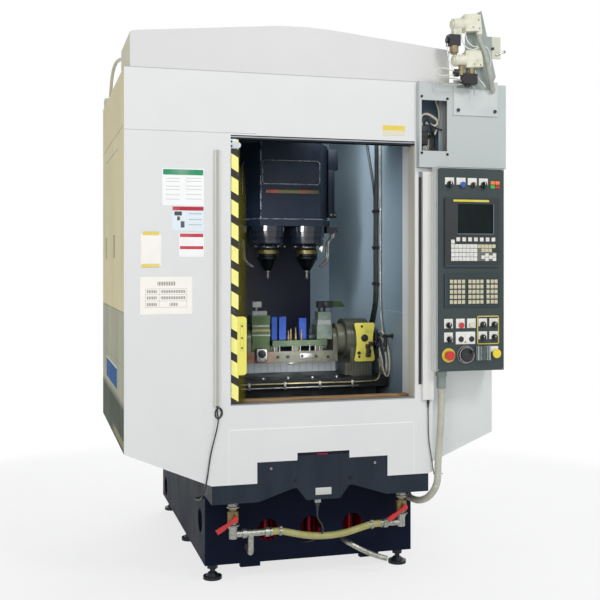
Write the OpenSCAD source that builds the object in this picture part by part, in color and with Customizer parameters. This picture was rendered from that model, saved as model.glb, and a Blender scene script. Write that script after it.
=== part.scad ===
// Twin-spindle valve finishing machine: travelling column, trunnion fixture,
// sheet-metal guard with a telescopic door, and an operator panel.
// Millimetres, +Z up, front towards -Y, origin on the floor under the middle.

/* [Guard] */
// Width of the guard over its side sheets
guard_w = 1710; // [1650:10:1760]
// Height of the roof sheet above the floor
roof_z = 2217; // [2200:1:2240]
// Thickness of the folded sheets
sheet_t = 3; // [2:0.5:4]
// Width of the loading opening
opening_w = 834; // [780:2:840]
// Height of the loading opening
opening_h = 1145; // [1100:5:1150]
// Height of the sill of the loading opening
sill_z = 805; // [800:1:820]

/* [Bed] */
// Width of the bed casting
bed_w = 970; // [960:10:990]
// Height of the bed's top face
bed_top = 620; // [610:1:630]
// Wall thickness of the bed casting
bed_wall = 28; // [20:1:34]
// Diameter of the front core holes
core_hole_d = 98; // [60:1:120]
// Height of the levelling feet
foot_h = 75; // [70:1:80]

/* [Spindles] */
// Distance between the two spindle axes
spindle_pitch = 200; // [190:1:210]
// Outer diameter of a spindle housing
housing_d = 180; // [150:1:184]
// Diameter of the spindle in its housing
spindle_d = 90; // [70:1:100]
// Height of the tool tips above the floor
tool_tip_z = 1326; // [1320:1:1340]

/* [Fixture] */
// Height of the tilting axis
tilt_z = 1040; // [1035:1:1045]
// Diameter of the rotary unit
rotary_d = 196; // [180:1:204]

/* [Operator panel] */
// Width of the operator panel
panel_w = 326; // [320:1:330]
// Height of the operator panel
panel_h = 903; // [900:1:910]
// Diameter of the selector knobs
knob_d = 30; // [24:1:32]
// Diameter of the emergency stop button
stop_d = 41; // [36:1:44]
// Diameter of the handwheel dial
dial_d = 75; // [60:1:80]

/* [Hoses] */
// Diameter of the wash hose
wash_hose_d = 30; // [20:1:32]
// Diameter of the cable conduit under the operator panel
conduit_d = 31; // [25:1:34]
// Diameter of the light curtain's cable
sensor_cable_d = 6; // [4:0.5:8]
// Diameter of the cable on the roof
roof_cable_d = 16; // [10:1:20]

/* [Hidden] */
$fn = 48;

// Gap left between machined faces that slide on each other
slide_gap = 0.3;
// Radial clearance of a shaft that turns in its bore
running_gap = 0.05;

// Guard
side_x = guard_w / 2;
front_y = -770;
guard_back_y = 420;
inner_front_y = front_y + sheet_t;
panel_top_z = roof_z - sheet_t;
opening_x = [-410, opening_w - 410];
opening_z = [sill_z, sill_z + opening_h];
flank_z = 622;
flap_x = 490;
flap_z = 470;
service_x = 433;
service_z = 1834;
service_y = -800;
recess_x = 510;
recess_y = -660;
liner_x = 440;
liner_y = [-655, 570];

// Bed
bed_y = [-570, 830];
bay_d = 200;
bay_pitch = 228.8;
bay_columns = [[-385, 144], [-200, 172], [0, 172], [200, 172], [385, 144]];
bay_rows = [for (i = [0:5]) bed_y[0] + bed_wall + bay_d / 2 + i * bay_pitch];
way_x = 200;
way_w = 70;
way_top = bed_top + 45;

// Column and head
saddle_top = 735;
cross_way_y = [270, 450];
cross_way_top = saddle_top + 40;
column_y = [200, 500];
column_top = 2150;
z_way_x = 150;
z_way_y = 165;
z_way_low = 1500;
head_z = [1625, 2000];
flange_z = 1590;
spindle_y = -150;
nose_z = 1472;

// Fixture
tilt_y = -260;
pedestal_top = 823;
base_top = 866;

// Operator panel
panel_x = 498;
panel_z = 930;
panel_y = -840;
plate_t = 4;

// Wash pipework
pipe_y = -700;
pipe_z = 243;
valve_x = 385;

// Routes of the hoses and cables, from end to end
wash_hose_route = [
    [-214, -700, 243], [-204, -700, 243], [-194, -700, 243], [-171, -700, 241],
    [-140, -701, 234.5], [-103, -702, 225.5], [-60, -704, 216.5], [-13, -705, 210.5],
    [35, -705, 208.5], [83, -705, 210.5], [130, -704, 216.5], [172, -702, 225.5],
    [210, -701, 234.5], [242, -700, 241], [266, -700, 243], [276, -700, 243], [286, -700, 243]
];
conduit_route = [
    [547, -780, 850], [547, -780, 825], [547, -780, 800], [544, -782, 720], [538, -785, 640],
    [531, -786, 560], [528, -786, 502], [527, -786, 462], [524.5, -784, 430.5],
    [516.5, -772.5, 397], [505.5, -752, 367.5], [492.5, -724, 345.5], [480.5, -693, 332.5],
    [470.5, -660, 328], [465, -633, 328], [462.5, -610, 328], [462, -599, 328], [462, -588, 328]
];
sensor_cable_route = [
    [-468, -776, 800], [-468, -776, 790], [-468, -777, 778], [-466, -785, 752], [-472, -790, 718],
    [-484, -785, 664], [-496, -780, 610], [-504, -779, 560], [-511, -778, 510], [-519, -770, 462],
    [-525, -742, 424], [-527, -690, 399], [-527, -625, 382], [-527, -585, 375],
    [-526.5, -565, 372.5], [-523, -552.5, 372], [-514.5, -543.5, 372], [-502, -540, 372],
    [-499, -540, 372]
];
roof_cable_route = [
    [-800, -364, 2330], [-800, -354, 2330], [-800, -344, 2330], [-804, -296, 2339],
    [-812, -240, 2352], [-819, -184, 2363], [-826, -130, 2366], [-832, -78, 2361],
    [-836, -30, 2348], [-839, 12, 2325], [-840, 50, 2299], [-840, 81, 2272], [-840, 110, 2251],
    [-838, 139, 2237], [-836, 170, 2231], [-834, 205, 2230], [-832, 240, 2232], [-831, 273, 2237],
    [-830, 300, 2240], [-830, 320, 2240], [-830, 340, 2240]
];

// A block between two values on each axis
module block(x, y, z) {
    translate([x[0], y[0], z[0]]) cube([x[1] - x[0], y[1] - y[0], z[1] - z[0]]);
}

// A flat outline in X and Z, thickened towards +Y from y
module upright(y, t) {
    translate([0, y + t, 0]) rotate([90, 0, 0]) linear_extrude(t) children();
}

// A round bar along X, Y or Z from its first end
module bar_x(p, d, l) { translate(p) rotate([0, 90, 0]) cylinder(d = d, h = l); }
module bar_y(p, d, l) { translate(p) rotate([-90, 0, 0]) cylinder(d = d, h = l); }
module bar_z(p, d, l) { translate(p) cylinder(d = d, h = l); }

// A rectangle with rounded corners
module rounded(x, z, r) {
    hull() for (a = [x[0] + r, x[1] - r], b = [z[0] + r, z[1] - r])
        translate([a, b]) circle(r, $fn = 32);
}

// Catmull-Rom point between b and c
function between(a, b, c, d, t) =
    0.5 * (2 * b + (c - a) * t + (2 * a - 5 * b + 4 * c - d) * t * t
    + (3 * b - a - 3 * c + d) * t * t * t);
// The route smoothed, with n steps to each stretch
function smoothed(p, n) = concat(
    [for (i = [0:len(p) - 2], s = [0:n - 1])
        between(p[max(i - 1, 0)], p[i], p[i + 1], p[min(i + 2, len(p) - 1)], s / n)],
    [p[len(p) - 1]]);
function unit(v) = v / norm(v);
function heading(p, i) = unit(p[min(i + 1, len(p) - 1)] - p[max(i - 1, 0)]);
// A normal to the path that never twists about it
function normal(p, i) = i == 0
    ? unit(cross(heading(p, 0), abs(heading(p, 0)[2]) < 0.9 ? [0, 0, 1] : [1, 0, 0]))
    : let (h = heading(p, i), s = normal(p, i - 1)) unit(s - (s * h) * h);
function ring(p, i, d, n) = let (h = heading(p, i), s = normal(p, i), u = cross(h, s))
    [for (k = [0:n - 1]) p[i] + d / 2 * (cos(360 * k / n) * s + sin(360 * k / n) * u)];

// A tube swept along a path, with n sides
module swept(p, d, n) {
    last = (len(p) - 1) * n;
    polyhedron(
        points = [for (i = [0:len(p) - 1]) each ring(p, i, d, n)],
        faces = concat(
            [[for (k = [0:n - 1]) k]],
            [for (i = [0:len(p) - 2], k = [0:n - 1])
                let (a = i * n + k, b = i * n + (k + 1) % n) each [[a, b + n, b], [a, a + n, b + n]]],
            [[for (k = [n - 1:-1:0]) last + k]]));
}

// ---- Bed and feet ----

foot_places = [for (x = [-440, 440], y = [-510, 130, 770]) [x, y]];

module bed_casting() {
    color("#141a28") {
        difference() {
            block([-bed_w / 2, bed_w / 2], bed_y, [foot_h, bed_top]);
            for (c = bay_columns, y = bay_rows)
                block([c[0] - c[1] / 2, c[0] + c[1] / 2], [y - bay_d / 2, y + bay_d / 2],
                    [foot_h - 1, bed_top - 60]);
            for (x = [-200, 0, 200]) bar_y([x, bed_y[0] - 1, 215], core_hole_d, bed_wall + 2);
            for (s = [-1, 1]) {
                bar_x([s * (bed_w / 2 - 16) - 20, bay_rows[0], 245], 105, 40);
                bar_x([s * (bed_w / 2 - 16) - 20, bay_rows[5], 150], 105, 40);
            }
        }
        for (x = [-200, 0, 200]) block([x - 7, x + 7], [bed_y[0] + 40, bed_y[0] + 90], [foot_h, bed_top - 50]);
        for (p = foot_places) bar_z([p[0], p[1], foot_h], 86, 70);
        for (x = [-280, 280]) block([x - 45, x + 45], [bed_y[0], bed_y[0] + bed_wall], [foot_h - 18, foot_h + 5]);
        for (s = [-1, 1]) block([s * way_x - way_w / 2, s * way_x + way_w / 2], [70, 560], [bed_top - 5, way_top]);
        bar_y([462, -588, 328], 44, 20);
        bar_x([-499, -540, 372], 14, 16);
    }
}

module levelling_feet() {
    color("#2a2c30") for (p = foot_places) {
        bar_z([p[0], p[1], 0], 84, 14);
        translate([p[0], p[1], 14]) cylinder(d1 = 60, d2 = 40, h = 14);
        bar_z([p[0], p[1], 27], 24, foot_h - 27);
        translate([p[0], p[1], 46]) cylinder(d = 48, h = 20, $fn = 6);
    }
}

// ---- Travelling column ----

module saddle() {
    color("#1c2434") difference() {
        union() {
            block([-380, 380], [200, 520], [bed_top + 20, saddle_top]);
            for (y = cross_way_y) block([-375, 375], [y - 30, y + 30], [saddle_top - 5, cross_way_top]);
        }
        for (s = [-1, 1])
            block([s * way_x - way_w / 2 - slide_gap, s * way_x + way_w / 2 + slide_gap], [199, 521],
                [bed_top, way_top + slide_gap]);
    }
}

// The column's side view: upright in front, leaning in towards its top behind
module column() {
    color("#181f2e") difference() {
        union() {
            translate([-220, 0, 0]) rotate([90, 0, 90]) linear_extrude(440)
                polygon([[column_y[0], saddle_top + 15], [column_y[1], saddle_top + 15],
                    [column_y[1], 1150], [column_y[1] - 70, column_top], [column_y[0], column_top]]);
            for (s = [-1, 1])
                block([s * z_way_x - 25, s * z_way_x + 25], [z_way_y, column_y[0] + 5], [z_way_low, column_top]);
        }
        for (y = cross_way_y)
            block([-221, 221], [y - 30 - slide_gap, y + 30 + slide_gap], [saddle_top, cross_way_top + slide_gap]);
        for (z = [900, 1150, 1400, 1650, 1900]) for (s = [-1, 1])
            block([s * 200 - 21, s * 200 + 21], [column_y[0] + 70, column_y[0] + 210], [z, z + 190]);
    }
}

// ---- Spindle head ----

module head_outline(grow) {
    polygon([[-230 - grow, 185], [-230 - grow, -80], [-152 - grow / 2, -220 - grow],
        [152 + grow / 2, -220 - grow], [230 + grow, -80], [230 + grow, 185]]);
}

module spindle_head() {
    color("#20242e") difference() {
        union() {
            translate([0, 0, head_z[0]]) linear_extrude(head_z[1] - head_z[0]) head_outline(0);
            translate([0, 0, flange_z]) linear_extrude(head_z[0] - flange_z) head_outline(12);
            block([226, 268], [-60, 120], [1890, 1984]);
            block([226, 252], [-60, 70], [1664, 1892]);
            block([226, 272], [-96, -62], [1640, 1666]);
        }
        for (s = [-1, 1])
            block([s * z_way_x - 25 - slide_gap, s * z_way_x + 25 + slide_gap],
                [z_way_y - slide_gap, 186], [flange_z - 1, head_z[1] + 1]);
    }
}

module head_cover() {
    color("#24272c") {
        upright(-227, 7) rounded([-150, 150], [1788, 1914], 14);
        for (x = [-135, 0, 135], z = [1802, 1900]) bar_y([x, -231, z], 11, 5);
    }
}

// Both housings: a bolted collar, a ribbed barrel and a nose ring each
module spindle_housings() {
    color("#2c2f36") for (s = [-1, 1]) translate([s * spindle_pitch / 2, spindle_y, 0]) {
        rotate_extrude() polygon([
            [spindle_d / 2 + running_gap, 1492], [housing_d / 2 - 22, 1492], [housing_d / 2 - 6, 1506],
            [housing_d / 2 - 6, 1524], [housing_d / 2 - 10, 1526], [housing_d / 2 - 10, 1534],
            [housing_d / 2 - 4, 1536], [housing_d / 2 - 4, 1560], [housing_d / 2, 1562],
            [housing_d / 2, flange_z], [spindle_d / 2 + running_gap, flange_z]]);
        for (a = [30:60:330]) rotate([0, 0, a]) bar_z([66, 0, 1487], 10, 5);
    }
}

// A spindle with its tool holder and its finishing tool, turned as one outline
module spindle() {
    r = spindle_d / 2;
    rotate_extrude() polygon([
        [0, tool_tip_z], [6, tool_tip_z + 4], [9, tool_tip_z + 12], [9, 1362], [15, 1364], [15, 1372],
        [21, 1376], [44, 1418], [50, 1424], [54, 1432], [54, 1440], [r + 2, 1444], [r + 2, 1450],
        [r + 11, 1454], [r + 11, nose_z], [r + 5, nose_z + 8], [r, nose_z + 12], [r, flange_z - 2],
        [0, flange_z - 2]]);
    for (a = [0, 180]) rotate([0, 0, a]) translate([r, -8, 1439]) cube([8, 16, 16]);
}
module spindle_left() { color("#8c8f94") translate([-spindle_pitch / 2, spindle_y, 0]) spindle(); }
module spindle_right() { color("#8c8f94") translate([spindle_pitch / 2, spindle_y, 0]) spindle(); }

// Two bent nozzles on a block at each side, aimed at the tools
module coolant_pipes() {
    color("#3a3d42") for (s = [-1, 1]) {
        block(s < 0 ? [-260, -205] : [205, 260], [-150, -90], [1560, flange_z]);
        for (y = [-136, -106])
            swept(smoothed([[s * 246, y, 1562], [s * 246, y, 1546], [s * 240, y, 1534], [s * 222, y, 1518],
                [s * 218, y, 1504], [s * 214, y - 4, 1440], [s * 210, y - 8, 1424], [s * 198, y - 11, 1408],
                [s * 172, y - 14, 1390]], 2), 12, 8);
    }
}

// ---- Trunnion fixture ----

module fixture_base() {
    color("#232830") {
        block([-300, 380], [-390, -120], [bed_top, pedestal_top]);
        block([-350, 430], [-420, -100], [pedestal_top - 2, base_top]);
        difference() {
            union() {
                block([-335, -260], [tilt_y - 70, tilt_y + 70], [base_top - 2, tilt_z]);
                bar_x([-335, tilt_y, tilt_z], 140, 75);
            }
            bar_x([-336, tilt_y, tilt_z], 60 + 2 * running_gap, 90);
        }
    }
}

module rotary_unit() {
    color("#3b3f45") {
        bar_x([244, tilt_y, tilt_z], rotary_d, 120);
        block([262, 372], [tilt_y - 92, tilt_y + 110], [base_top, tilt_z]);
        block([232, 264], [tilt_y - 98, tilt_y - 60], [871, 930]);
        bar_x([362, tilt_y, tilt_z], 120, 48);
        block([300, 405], [tilt_y + 50, tilt_y + 118], [tilt_z - 40, tilt_z + 76]);
        for (a = [0:60:300]) translate([0, tilt_y, tilt_z]) rotate([a, 0, 0]) bar_x([362, 0, 78], 12, 5);
    }
}

// The guard in front of the rotary unit, waisted at both sides
module rotary_cover() {
    color("#d8b93c") upright(tilt_y - 106, 8) difference() {
        rounded([278, 380], [936, 1121], 10);
        translate([-10, 1030]) circle(300, $fn = 96);
        translate([671, 1030]) circle(300, $fn = 96);
        translate([329, 1048]) circle(15);
        for (p = [[315, 1104], [302, 958]]) translate(p) circle(6);
    }
    color("#3b3f45") for (x = [308, 350], z = [958, 988]) bar_y([x, tilt_y - 99, z], 12, 7);
}

// The tilting cradle: journal, two arms, the beam between them and the green plate
module cradle() {
    color("#4b4f55") {
        bar_x([-334, tilt_y, tilt_z], 60, 96);
        for (x = [[-239, -219], [186, 208]]) {
            block(x, [tilt_y - 55, tilt_y + 55], [934, tilt_z]);
            bar_x([x[0], tilt_y, tilt_z], 110, x[1] - x[0]);
        }
        bar_x([207, tilt_y, tilt_z], 150, 36.5);
        block([-222, 190], [tilt_y - 55, tilt_y + 55], [934, 988]);
    }
    color("#5d7a60") {
        block([-120, 150], [tilt_y - 75, tilt_y + 75], [1014, 1041]);
        for (x = [-100, 0, 120]) block([x - 18, x + 18], [tilt_y - 40, tilt_y + 40], [986, 1016]);
    }
}

// Blocks, posts, clamp arms and locators that hold the work on the cradle
module work_clamps() {
    color("#8f9597") {
        for (i = [0:4]) block([-214 + (i % 2) * 3, -124 - (i % 2) * 3], [tilt_y - 45, tilt_y + 45],
            [988 + i * 34, 1022 + i * 34]);
        block([-206, -134], [tilt_y - 20, tilt_y + 20], [1158, 1180]);
        bar_z([-182, tilt_y, 1179], 10, 30);
        block([-203, -160], [tilt_y - 14, tilt_y + 14], [1198, 1224]);
        block([108, 184], [tilt_y - 42, tilt_y + 42], [1041, 1112]);
        block([114, 180], [tilt_y - 36, tilt_y + 36], [1111, 1134]);
        block([118, 184], [tilt_y - 30, tilt_y + 30], [1133, 1172]);
        for (x = [132, 158]) bar_z([x, tilt_y, 1171], 13, 26);
        block([122, 198], [tilt_y - 15, tilt_y + 15], [1192, 1224]);
        translate([0, tilt_y + 12, 0]) rotate([90, 0, 0]) linear_extrude(24)
            polygon([[196, 1194], [262, 1196], [248, 1212], [238, 1222], [196, 1222]]);
    }
    color("#2c5aa0") for (x = [[-114, -88], [-77, -43], [22, 58]])
        block(x, [tilt_y - 30, tilt_y - 4], [1041, x[0] < 0 ? 1152 : 1144]);
    color("#c9a24a") for (p = [[-34, 44], [-22, 52], [2, 58], [30, 50]]) {
        bar_z([p[0], tilt_y - 40, 1041], 10, p[1] * 0.55);
        bar_z([p[0], tilt_y - 40, 1042], 6, p[1]);
    }
}

// ---- Guard ----

// The front's outline below the window, stepped over the chip tray
function front_foot() = [[-side_x, flank_z], [-flap_x, flap_z], [-295, flap_z], [-295, 560],
    [-118, 560], [-118, 592], [118, 592], [118, 560], [295, 560], [295, flap_z],
    [flap_x, flap_z], [recess_x, flap_z + 8]];

module front_panel() {
    color("#e9eaec") difference() {
        union() {
            upright(front_y, sheet_t)
                polygon([[-side_x, 703], [recess_x, 703], [recess_x, service_z - 2], [service_x - 1, service_z - 2],
                    [service_x - 1, panel_top_z], [-side_x, panel_top_z]]);
            block([opening_x[0], opening_x[1] + sheet_t], [inner_front_y - 1, -620], [sill_z - 5, sill_z - 2]);
            block([opening_x[0], opening_x[1] + sheet_t], [inner_front_y - 1, -620], [opening_z[1], opening_z[1] + sheet_t]);
            block([opening_x[1], opening_x[1] + sheet_t], [-759, -620], [sill_z - 5, opening_z[1] + sheet_t]);
        }
        block(opening_x, [front_y - 1, inner_front_y + 1], opening_z);
    }
}

module front_lower_panel() {
    color("#e9eaec") upright(front_y, sheet_t)
        polygon(concat(front_foot(), [[recess_x, 700], [-side_x, 700]]));
}

// The roof sheet and the shallow gabled hood over the front
module roof_hood() {
    color("#e4e5e6") {
        difference() {
            union() {
                block([-side_x, side_x], [front_y, guard_back_y], [panel_top_z, roof_z]);
                block([-liner_x - 6, liner_x + 6], [guard_back_y - 1, liner_y[1] + sheet_t], [panel_top_z, roof_z]);
            }
            block([-430, 430], [-740, -404], [panel_top_z - 1, roof_z + 1]);
        }
        bar_y([-800, -376, 2330], 26, 12);
        block([-850, -812], [340, 400], [roof_z - 1, 2268]);
        upright(front_y, 396) difference() {
            polygon([[-831, roof_z - 1], [-831, 2360], [-820, 2366], [-216, 2422], [-101, 2426],
                [14, 2422], [578, 2366], [590, 2360], [590, roof_z - 1]]);
            polygon([[-828, roof_z], [-828, 2359], [-819, 2363], [-216, 2419], [-101, 2423],
                [14, 2419], [577, 2363], [587, 2359], [587, roof_z]]);
        }
        for (y = [front_y, -374 - sheet_t]) upright(y, sheet_t)
            polygon([[-831, roof_z - 1], [-831, 2360], [-820, 2366], [-216, 2422], [-101, 2426],
                [14, 2422], [578, 2366], [590, 2360], [590, roof_z - 1]]);
    }
}

side_door_z = [1203, 1977];
front_door_y = [-740, -190];
rear_door_y = [-180, 300];

module left_side_panel() {
    color("#cfd0bb") difference() {
        union() {
            block([-side_x, -side_x + sheet_t], [inner_front_y, guard_back_y], [flank_z, panel_top_z]);
            block([-side_x, -liner_x - 6], [guard_back_y - sheet_t, guard_back_y], [flank_z, panel_top_z]);
        }
        for (y = [front_door_y, rear_door_y])
            block([-side_x - 1, -side_x + sheet_t + 1], [y[0] - 2, y[1] + 2], [side_door_z[0] - 2, side_door_z[1] + 2]);
    }
}

module side_door(y) {
    color("#cfd0bb") difference() {
        block([-side_x, -side_x + sheet_t], y, side_door_z);
        block([-side_x - 1, -side_x + sheet_t + 1], [y[1] - 44, y[1] - 22], [1437, 1537]);
    }
}
module side_door_front() { side_door(front_door_y); }
module side_door_rear() { side_door(rear_door_y); }

// The right side with the recessed front that carries the operator panel
module right_side_panel() {
    color("#e2e3e4") {
        block([side_x - sheet_t, side_x], [recess_y, guard_back_y], [flank_z, panel_top_z]);
        block([liner_x + 6, side_x], [guard_back_y - sheet_t, guard_back_y], [flank_z, panel_top_z]);
        upright(recess_y, sheet_t)
            polygon([[recess_x - sheet_t, flap_z + 7], [side_x, flank_z], [side_x, service_z - 2],
                [recess_x - sheet_t, service_z - 2]]);
        block([recess_x - sheet_t, recess_x], [inner_front_y, recess_y + 1], [flap_z + 8, service_z - 2]);
    }
}

// The switchgear cabinet on the back, with its plate and drives
module rear_cabinet() {
    color("#d9dad2") difference() {
        block([-700, 700], [573, 860], [bed_top, 2100]);
        block([-697, 697], [576, 861], [bed_top + 3, 2097]);
    }
    color("#b8bcc0") block([-660, 660], [575, 590], [bed_top + 60, 2040]);
    color("#3c4046") {
        for (x = [-600:170:420]) block([x, x + 120], [589, 760], [1500, 1860]);
        for (x = [-600:95:540]) block([x, x + 70], [589, 680], [1180, 1330]);
        block([-600, -250], [589, 780], [720, 1020]);
        block([-120, 560], [589, 700], [780, 960]);
    }
}

module cabinet_door() {
    color("#d9dad2") {
        block([-698, 698], [861, 870], [bed_top + 5, 2095]);
        block([600, 640], [869, 875], [1280, 1440]);
    }
}

module work_liner() {
    color("#5f7484") difference() {
        block([-liner_x - sheet_t, liner_x + sheet_t], [liner_y[0], liner_y[1] + sheet_t], [bed_top, 2210]);
        block([-liner_x, liner_x], [liner_y[0] - 1, liner_y[1]], [bed_top - 1, 2211]);
        block([-liner_x - 5, liner_x + 5], [liner_y[0] - 1, bed_y[0] - 5], [bed_top - 1, 700]);
    }
}

// The chip tray's floor and the dark apron in front of the bed
module chip_tray() {
    color("#1b212c") {
        difference() {
            block([-liner_x + 3, liner_x - 3], [inner_front_y + 1, 60], [697, 700]);
            block([-305, 385], [-395, -115], [690, 710]);
        }
        block([-liner_x + 3, liner_x - 3], [57, 60], [640, 760]);
        upright(inner_front_y, sheet_t)
            polygon([[-flap_x, 390], [-290, 390], [-135, 440], [-118, 440], [-76, 385], [76, 385],
                [118, 440], [135, 440], [290, 390], [flap_x, 390], [flap_x, 700], [-flap_x, 700]]);
        for (s = [-1, 1]) block(s < 0 ? [-flap_x, -flap_x + 3] : [flap_x - 3, flap_x],
            [inner_front_y, bed_y[0] - 2], [390, 700]);
    }
}

module service_box() {
    color("#e6e7e9") difference() {
        block([service_x, side_x], [service_y, recess_y - 1], [service_z, panel_top_z]);
        block([service_x + 3, side_x - 3], [service_y + 3, recess_y], [service_z + 3, panel_top_z - 3]);
        block([444, 566], [service_y - 1, service_y + 4], [1907, 2132]);
    }
    color("#6f8292") block([service_x + 1, 600], [recess_y - 4, recess_y - 1], [service_z + 1, panel_top_z - 1]);
}

// ---- Door ----

door_z = [812, 1932];

// Channels over and under the door, open towards it
module door_rails() {
    color("#b9bcc0") {
        difference() {
            block([-850, opening_x[1]], [inner_front_y, -708], [1934, opening_z[1]]);
            block([-851, opening_x[1] + 1], [-757, -737], [1930, 1944]);
            block([-851, opening_x[1] + 1], [-734, -714], [1930, 1944]);
        }
        block([-850, opening_x[1]], [inner_front_y, -708], [sill_z - 2, 810]);
    }
}

// A sliding leaf with its stiffening frame and window opening
module leaf(x, y, window) {
    difference() {
        block([x, x + 435], y, door_z);
        if (window) block([x + 55, x + 375], [y[0] - 1, y[1] + 1], [1160, 1860]);
        block([x + 12, x + 423], [y[0] + 3, y[1] + 1], [door_z[0] + 15, window ? 1140 : door_z[1] - 15]);
    }
    for (a = [60, 300]) block([x + a, x + a + 70], [y[0] + 4, y[1] - 4], [door_z[1] - 1, 1941]);
}

module door_panel() {
    color("#dfe0e2") leaf(-816, [-756, -738], true);
    color("#9fb4bd") block([-763, -439], [-750, -744], [1158, 1862]);
}

module door_trailing_panel() { color("#dfe0e2") leaf(-850, [-733, -715], false); }

// The leading edge's warning profile and the yellow pull plate
module door_grip() {
    color("#d9d24a") {
        block([-381, -375], [-762, -736], door_z);
        block([-406, -380], [-762, -757], door_z);
        upright(-765, 4) rounded([-398, -340], [933, 1181], 14);
        for (z = [1048, 1090, 1141]) bar_y([-360, -766, z], 8, 2);
    }
}

module light_curtain() {
    color("#c8cacb") {
        block([-481, -456], [-782, front_y], [809, 1883]);
        block([456, 508], [-786, front_y], [800, 1815]);
        for (z = [833, 1312, 1839]) bar_y([-468.5, -784, z], 9, 3);
    }
    color("#16181a") {
        block([442, 453], [-775, front_y], [870, 1815]);
        bar_z([-468, -776, 800], 10, 10);
    }
}

// ---- Operator panel ----

module control_box() {
    color("#e4e5e4") difference() {
        block([panel_x, panel_x + panel_w], [panel_y + plate_t, recess_y], [panel_z, panel_z + panel_h]);
        block([panel_x + 3, panel_x + panel_w - 3], [panel_y, panel_y + 40],
            [panel_z + 3, panel_z + panel_h - 3]);
        block([panel_x - 1, recess_x + 2], [front_y - 20, recess_y + 1], [panel_z - 1, panel_z + panel_h + 1]);
    }
    color("#4a5650") upright(panel_y, plate_t) difference() {
        translate([panel_x, panel_z]) square([panel_w, panel_h]);
        for (c = controls) translate([c[0], c[1]]) circle(d = c[2] + 1);
    }
    color("#9aa09c") {
        bar_z([547, -780, panel_z - 26], 50, 28);
        bar_z([547, -780, panel_z - 80], 42, 60);
    }
}

module display_unit() {
    color("#3c4144") upright(panel_y - 9, 9) difference() {
        rounded([534, 797], [1391, 1696], 5);
        translate([596, 1540]) square([171, 130]);
    }
    color("#20302c") block([594, 769], [panel_y - 5, panel_y], [1538, 1672]);
    color("#3c4144") upright(panel_y - 6, 6) rounded([534, 803], [1213, 1362], 5);
    color("#e8e4d4") {
        block([561, 781], [panel_y - 11, panel_y - 8], [1417, 1500]);
        for (x = [[556, 631], [645, 719], [733, 787]]) block(x, [panel_y - 8, panel_y - 5], [1226, 1336]);
    }
}

// Each control: centre across, height, shaft diameter
controls = [
    [560, 1756, 16], [621, 1756, 16], [673, 1756, 16], [725, 1756, 16],
    [555, 1134, 16], [558, 1072, 16], [614, 1133, 16], [665, 1134, 16],
    [720, 1134, 10], [776, 1134, 10], [720, 1077, 10], [776, 1077, 10],
    [555, 1001, 22], [638, 1002, 16], [784, 1004, 22]
];

// A selector: a stem through the plate, a round base and a finger bar
module selector(c, d, colour) {
    color(colour) translate([c[0], panel_y, c[1]]) rotate([90, 0, 0]) {
        translate([0, 0, -20]) cylinder(d = c[2], h = 22);
        translate([0, 0, 1]) cylinder(d = d, h = 7);
        translate([-d * 0.16, -d * 0.48, 7]) cube([d * 0.32, d * 0.96, 13]);
    }
}

// A push button: a stem through the plate and a crowned cap
module push_button(c, d, h, colour) {
    color(colour) translate([c[0], panel_y, c[1]]) rotate([90, 0, 0]) {
        translate([0, 0, -20]) cylinder(d = c[2], h = 26);
        translate([0, 0, 6]) rotate_extrude()
            polygon([[0, 0], [d / 2, 0], [d / 2, h - 3], [d / 2 - 2, h - 1], [0, h]]);
    }
}

// An override knob: a knurled skirt and a narrower grip
module override_knob(c) {
    color("#2a2c2e") translate([c[0], panel_y, c[1]]) rotate([90, 0, 0]) {
        translate([0, 0, -20]) cylinder(d = c[2], h = 22);
        difference() {
            translate([0, 0, 1]) cylinder(d = 28, h = 9);
            for (a = [0:30:330]) rotate([0, 0, a]) translate([15, 0, 0]) cylinder(d = 4, h = 12);
        }
        translate([0, 0, 9]) cylinder(d = 19, h = 9);
    }
}

module mode_knob() { selector(controls[0], knob_d, "#1c1c1e"); }
module ready_button() { push_button(controls[1], 26, 8, "#3565b5"); }
module key_switch() {
    color("#2a2a2c") translate([controls[2][0], panel_y, controls[2][1]]) rotate([90, 0, 0]) {
        translate([0, 0, -20]) cylinder(d = 16, h = 22);
        translate([0, 0, 1]) cylinder(d = 24, h = 7);
        translate([-1.5, -9, 7]) cube([3, 18, 22]);
    }
}
module lamp_knob() { selector(controls[3], knob_d, "#1c1c1e"); }
module upper_selector() { selector(controls[4], 26, "#1c1c1e"); }
module lower_selector() { selector(controls[5], 26, "#1c1c1e"); }
module stop_button() { push_button(controls[6], 25, 8, "#c23a34"); }
module start_button() { push_button(controls[7], 25, 8, "#e8e8e4"); }
module override_knob_1() { override_knob(controls[8]); }
module override_knob_2() { override_knob(controls[9]); }
module override_knob_3() { override_knob(controls[10]); }
module override_knob_4() { override_knob(controls[11]); }
module emergency_stop() { push_button(controls[12], stop_d, 20, "#c42b25"); }
module release_button() { push_button(controls[14], 40, 10, "#e0b63a"); }

// The manual pulse dial with its spinner
module handwheel() {
    color("#1e1f21") translate([controls[13][0], panel_y, controls[13][1]]) rotate([90, 0, 0]) {
        translate([0, 0, -20]) cylinder(d = 16, h = 22);
        translate([0, 0, 1]) cylinder(d = dial_d, h = 13);
        translate([0, 0, 13]) cylinder(d = dial_d - 22, h = 4);
        translate([20, 14, 16]) cylinder(d = 14, h = 19);
    }
}

// The clear flip guard, open on its underside, hung on its top edge
module guard_flap() {
    color("#cfd8d4") difference() {
        block([687, 749], [panel_y - 22, panel_y - 1.5], [977, 1040]);
        block([690, 746], [panel_y - 19, panel_y], [976, 1037]);
    }
}

// ---- Wash pipework ----

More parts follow.
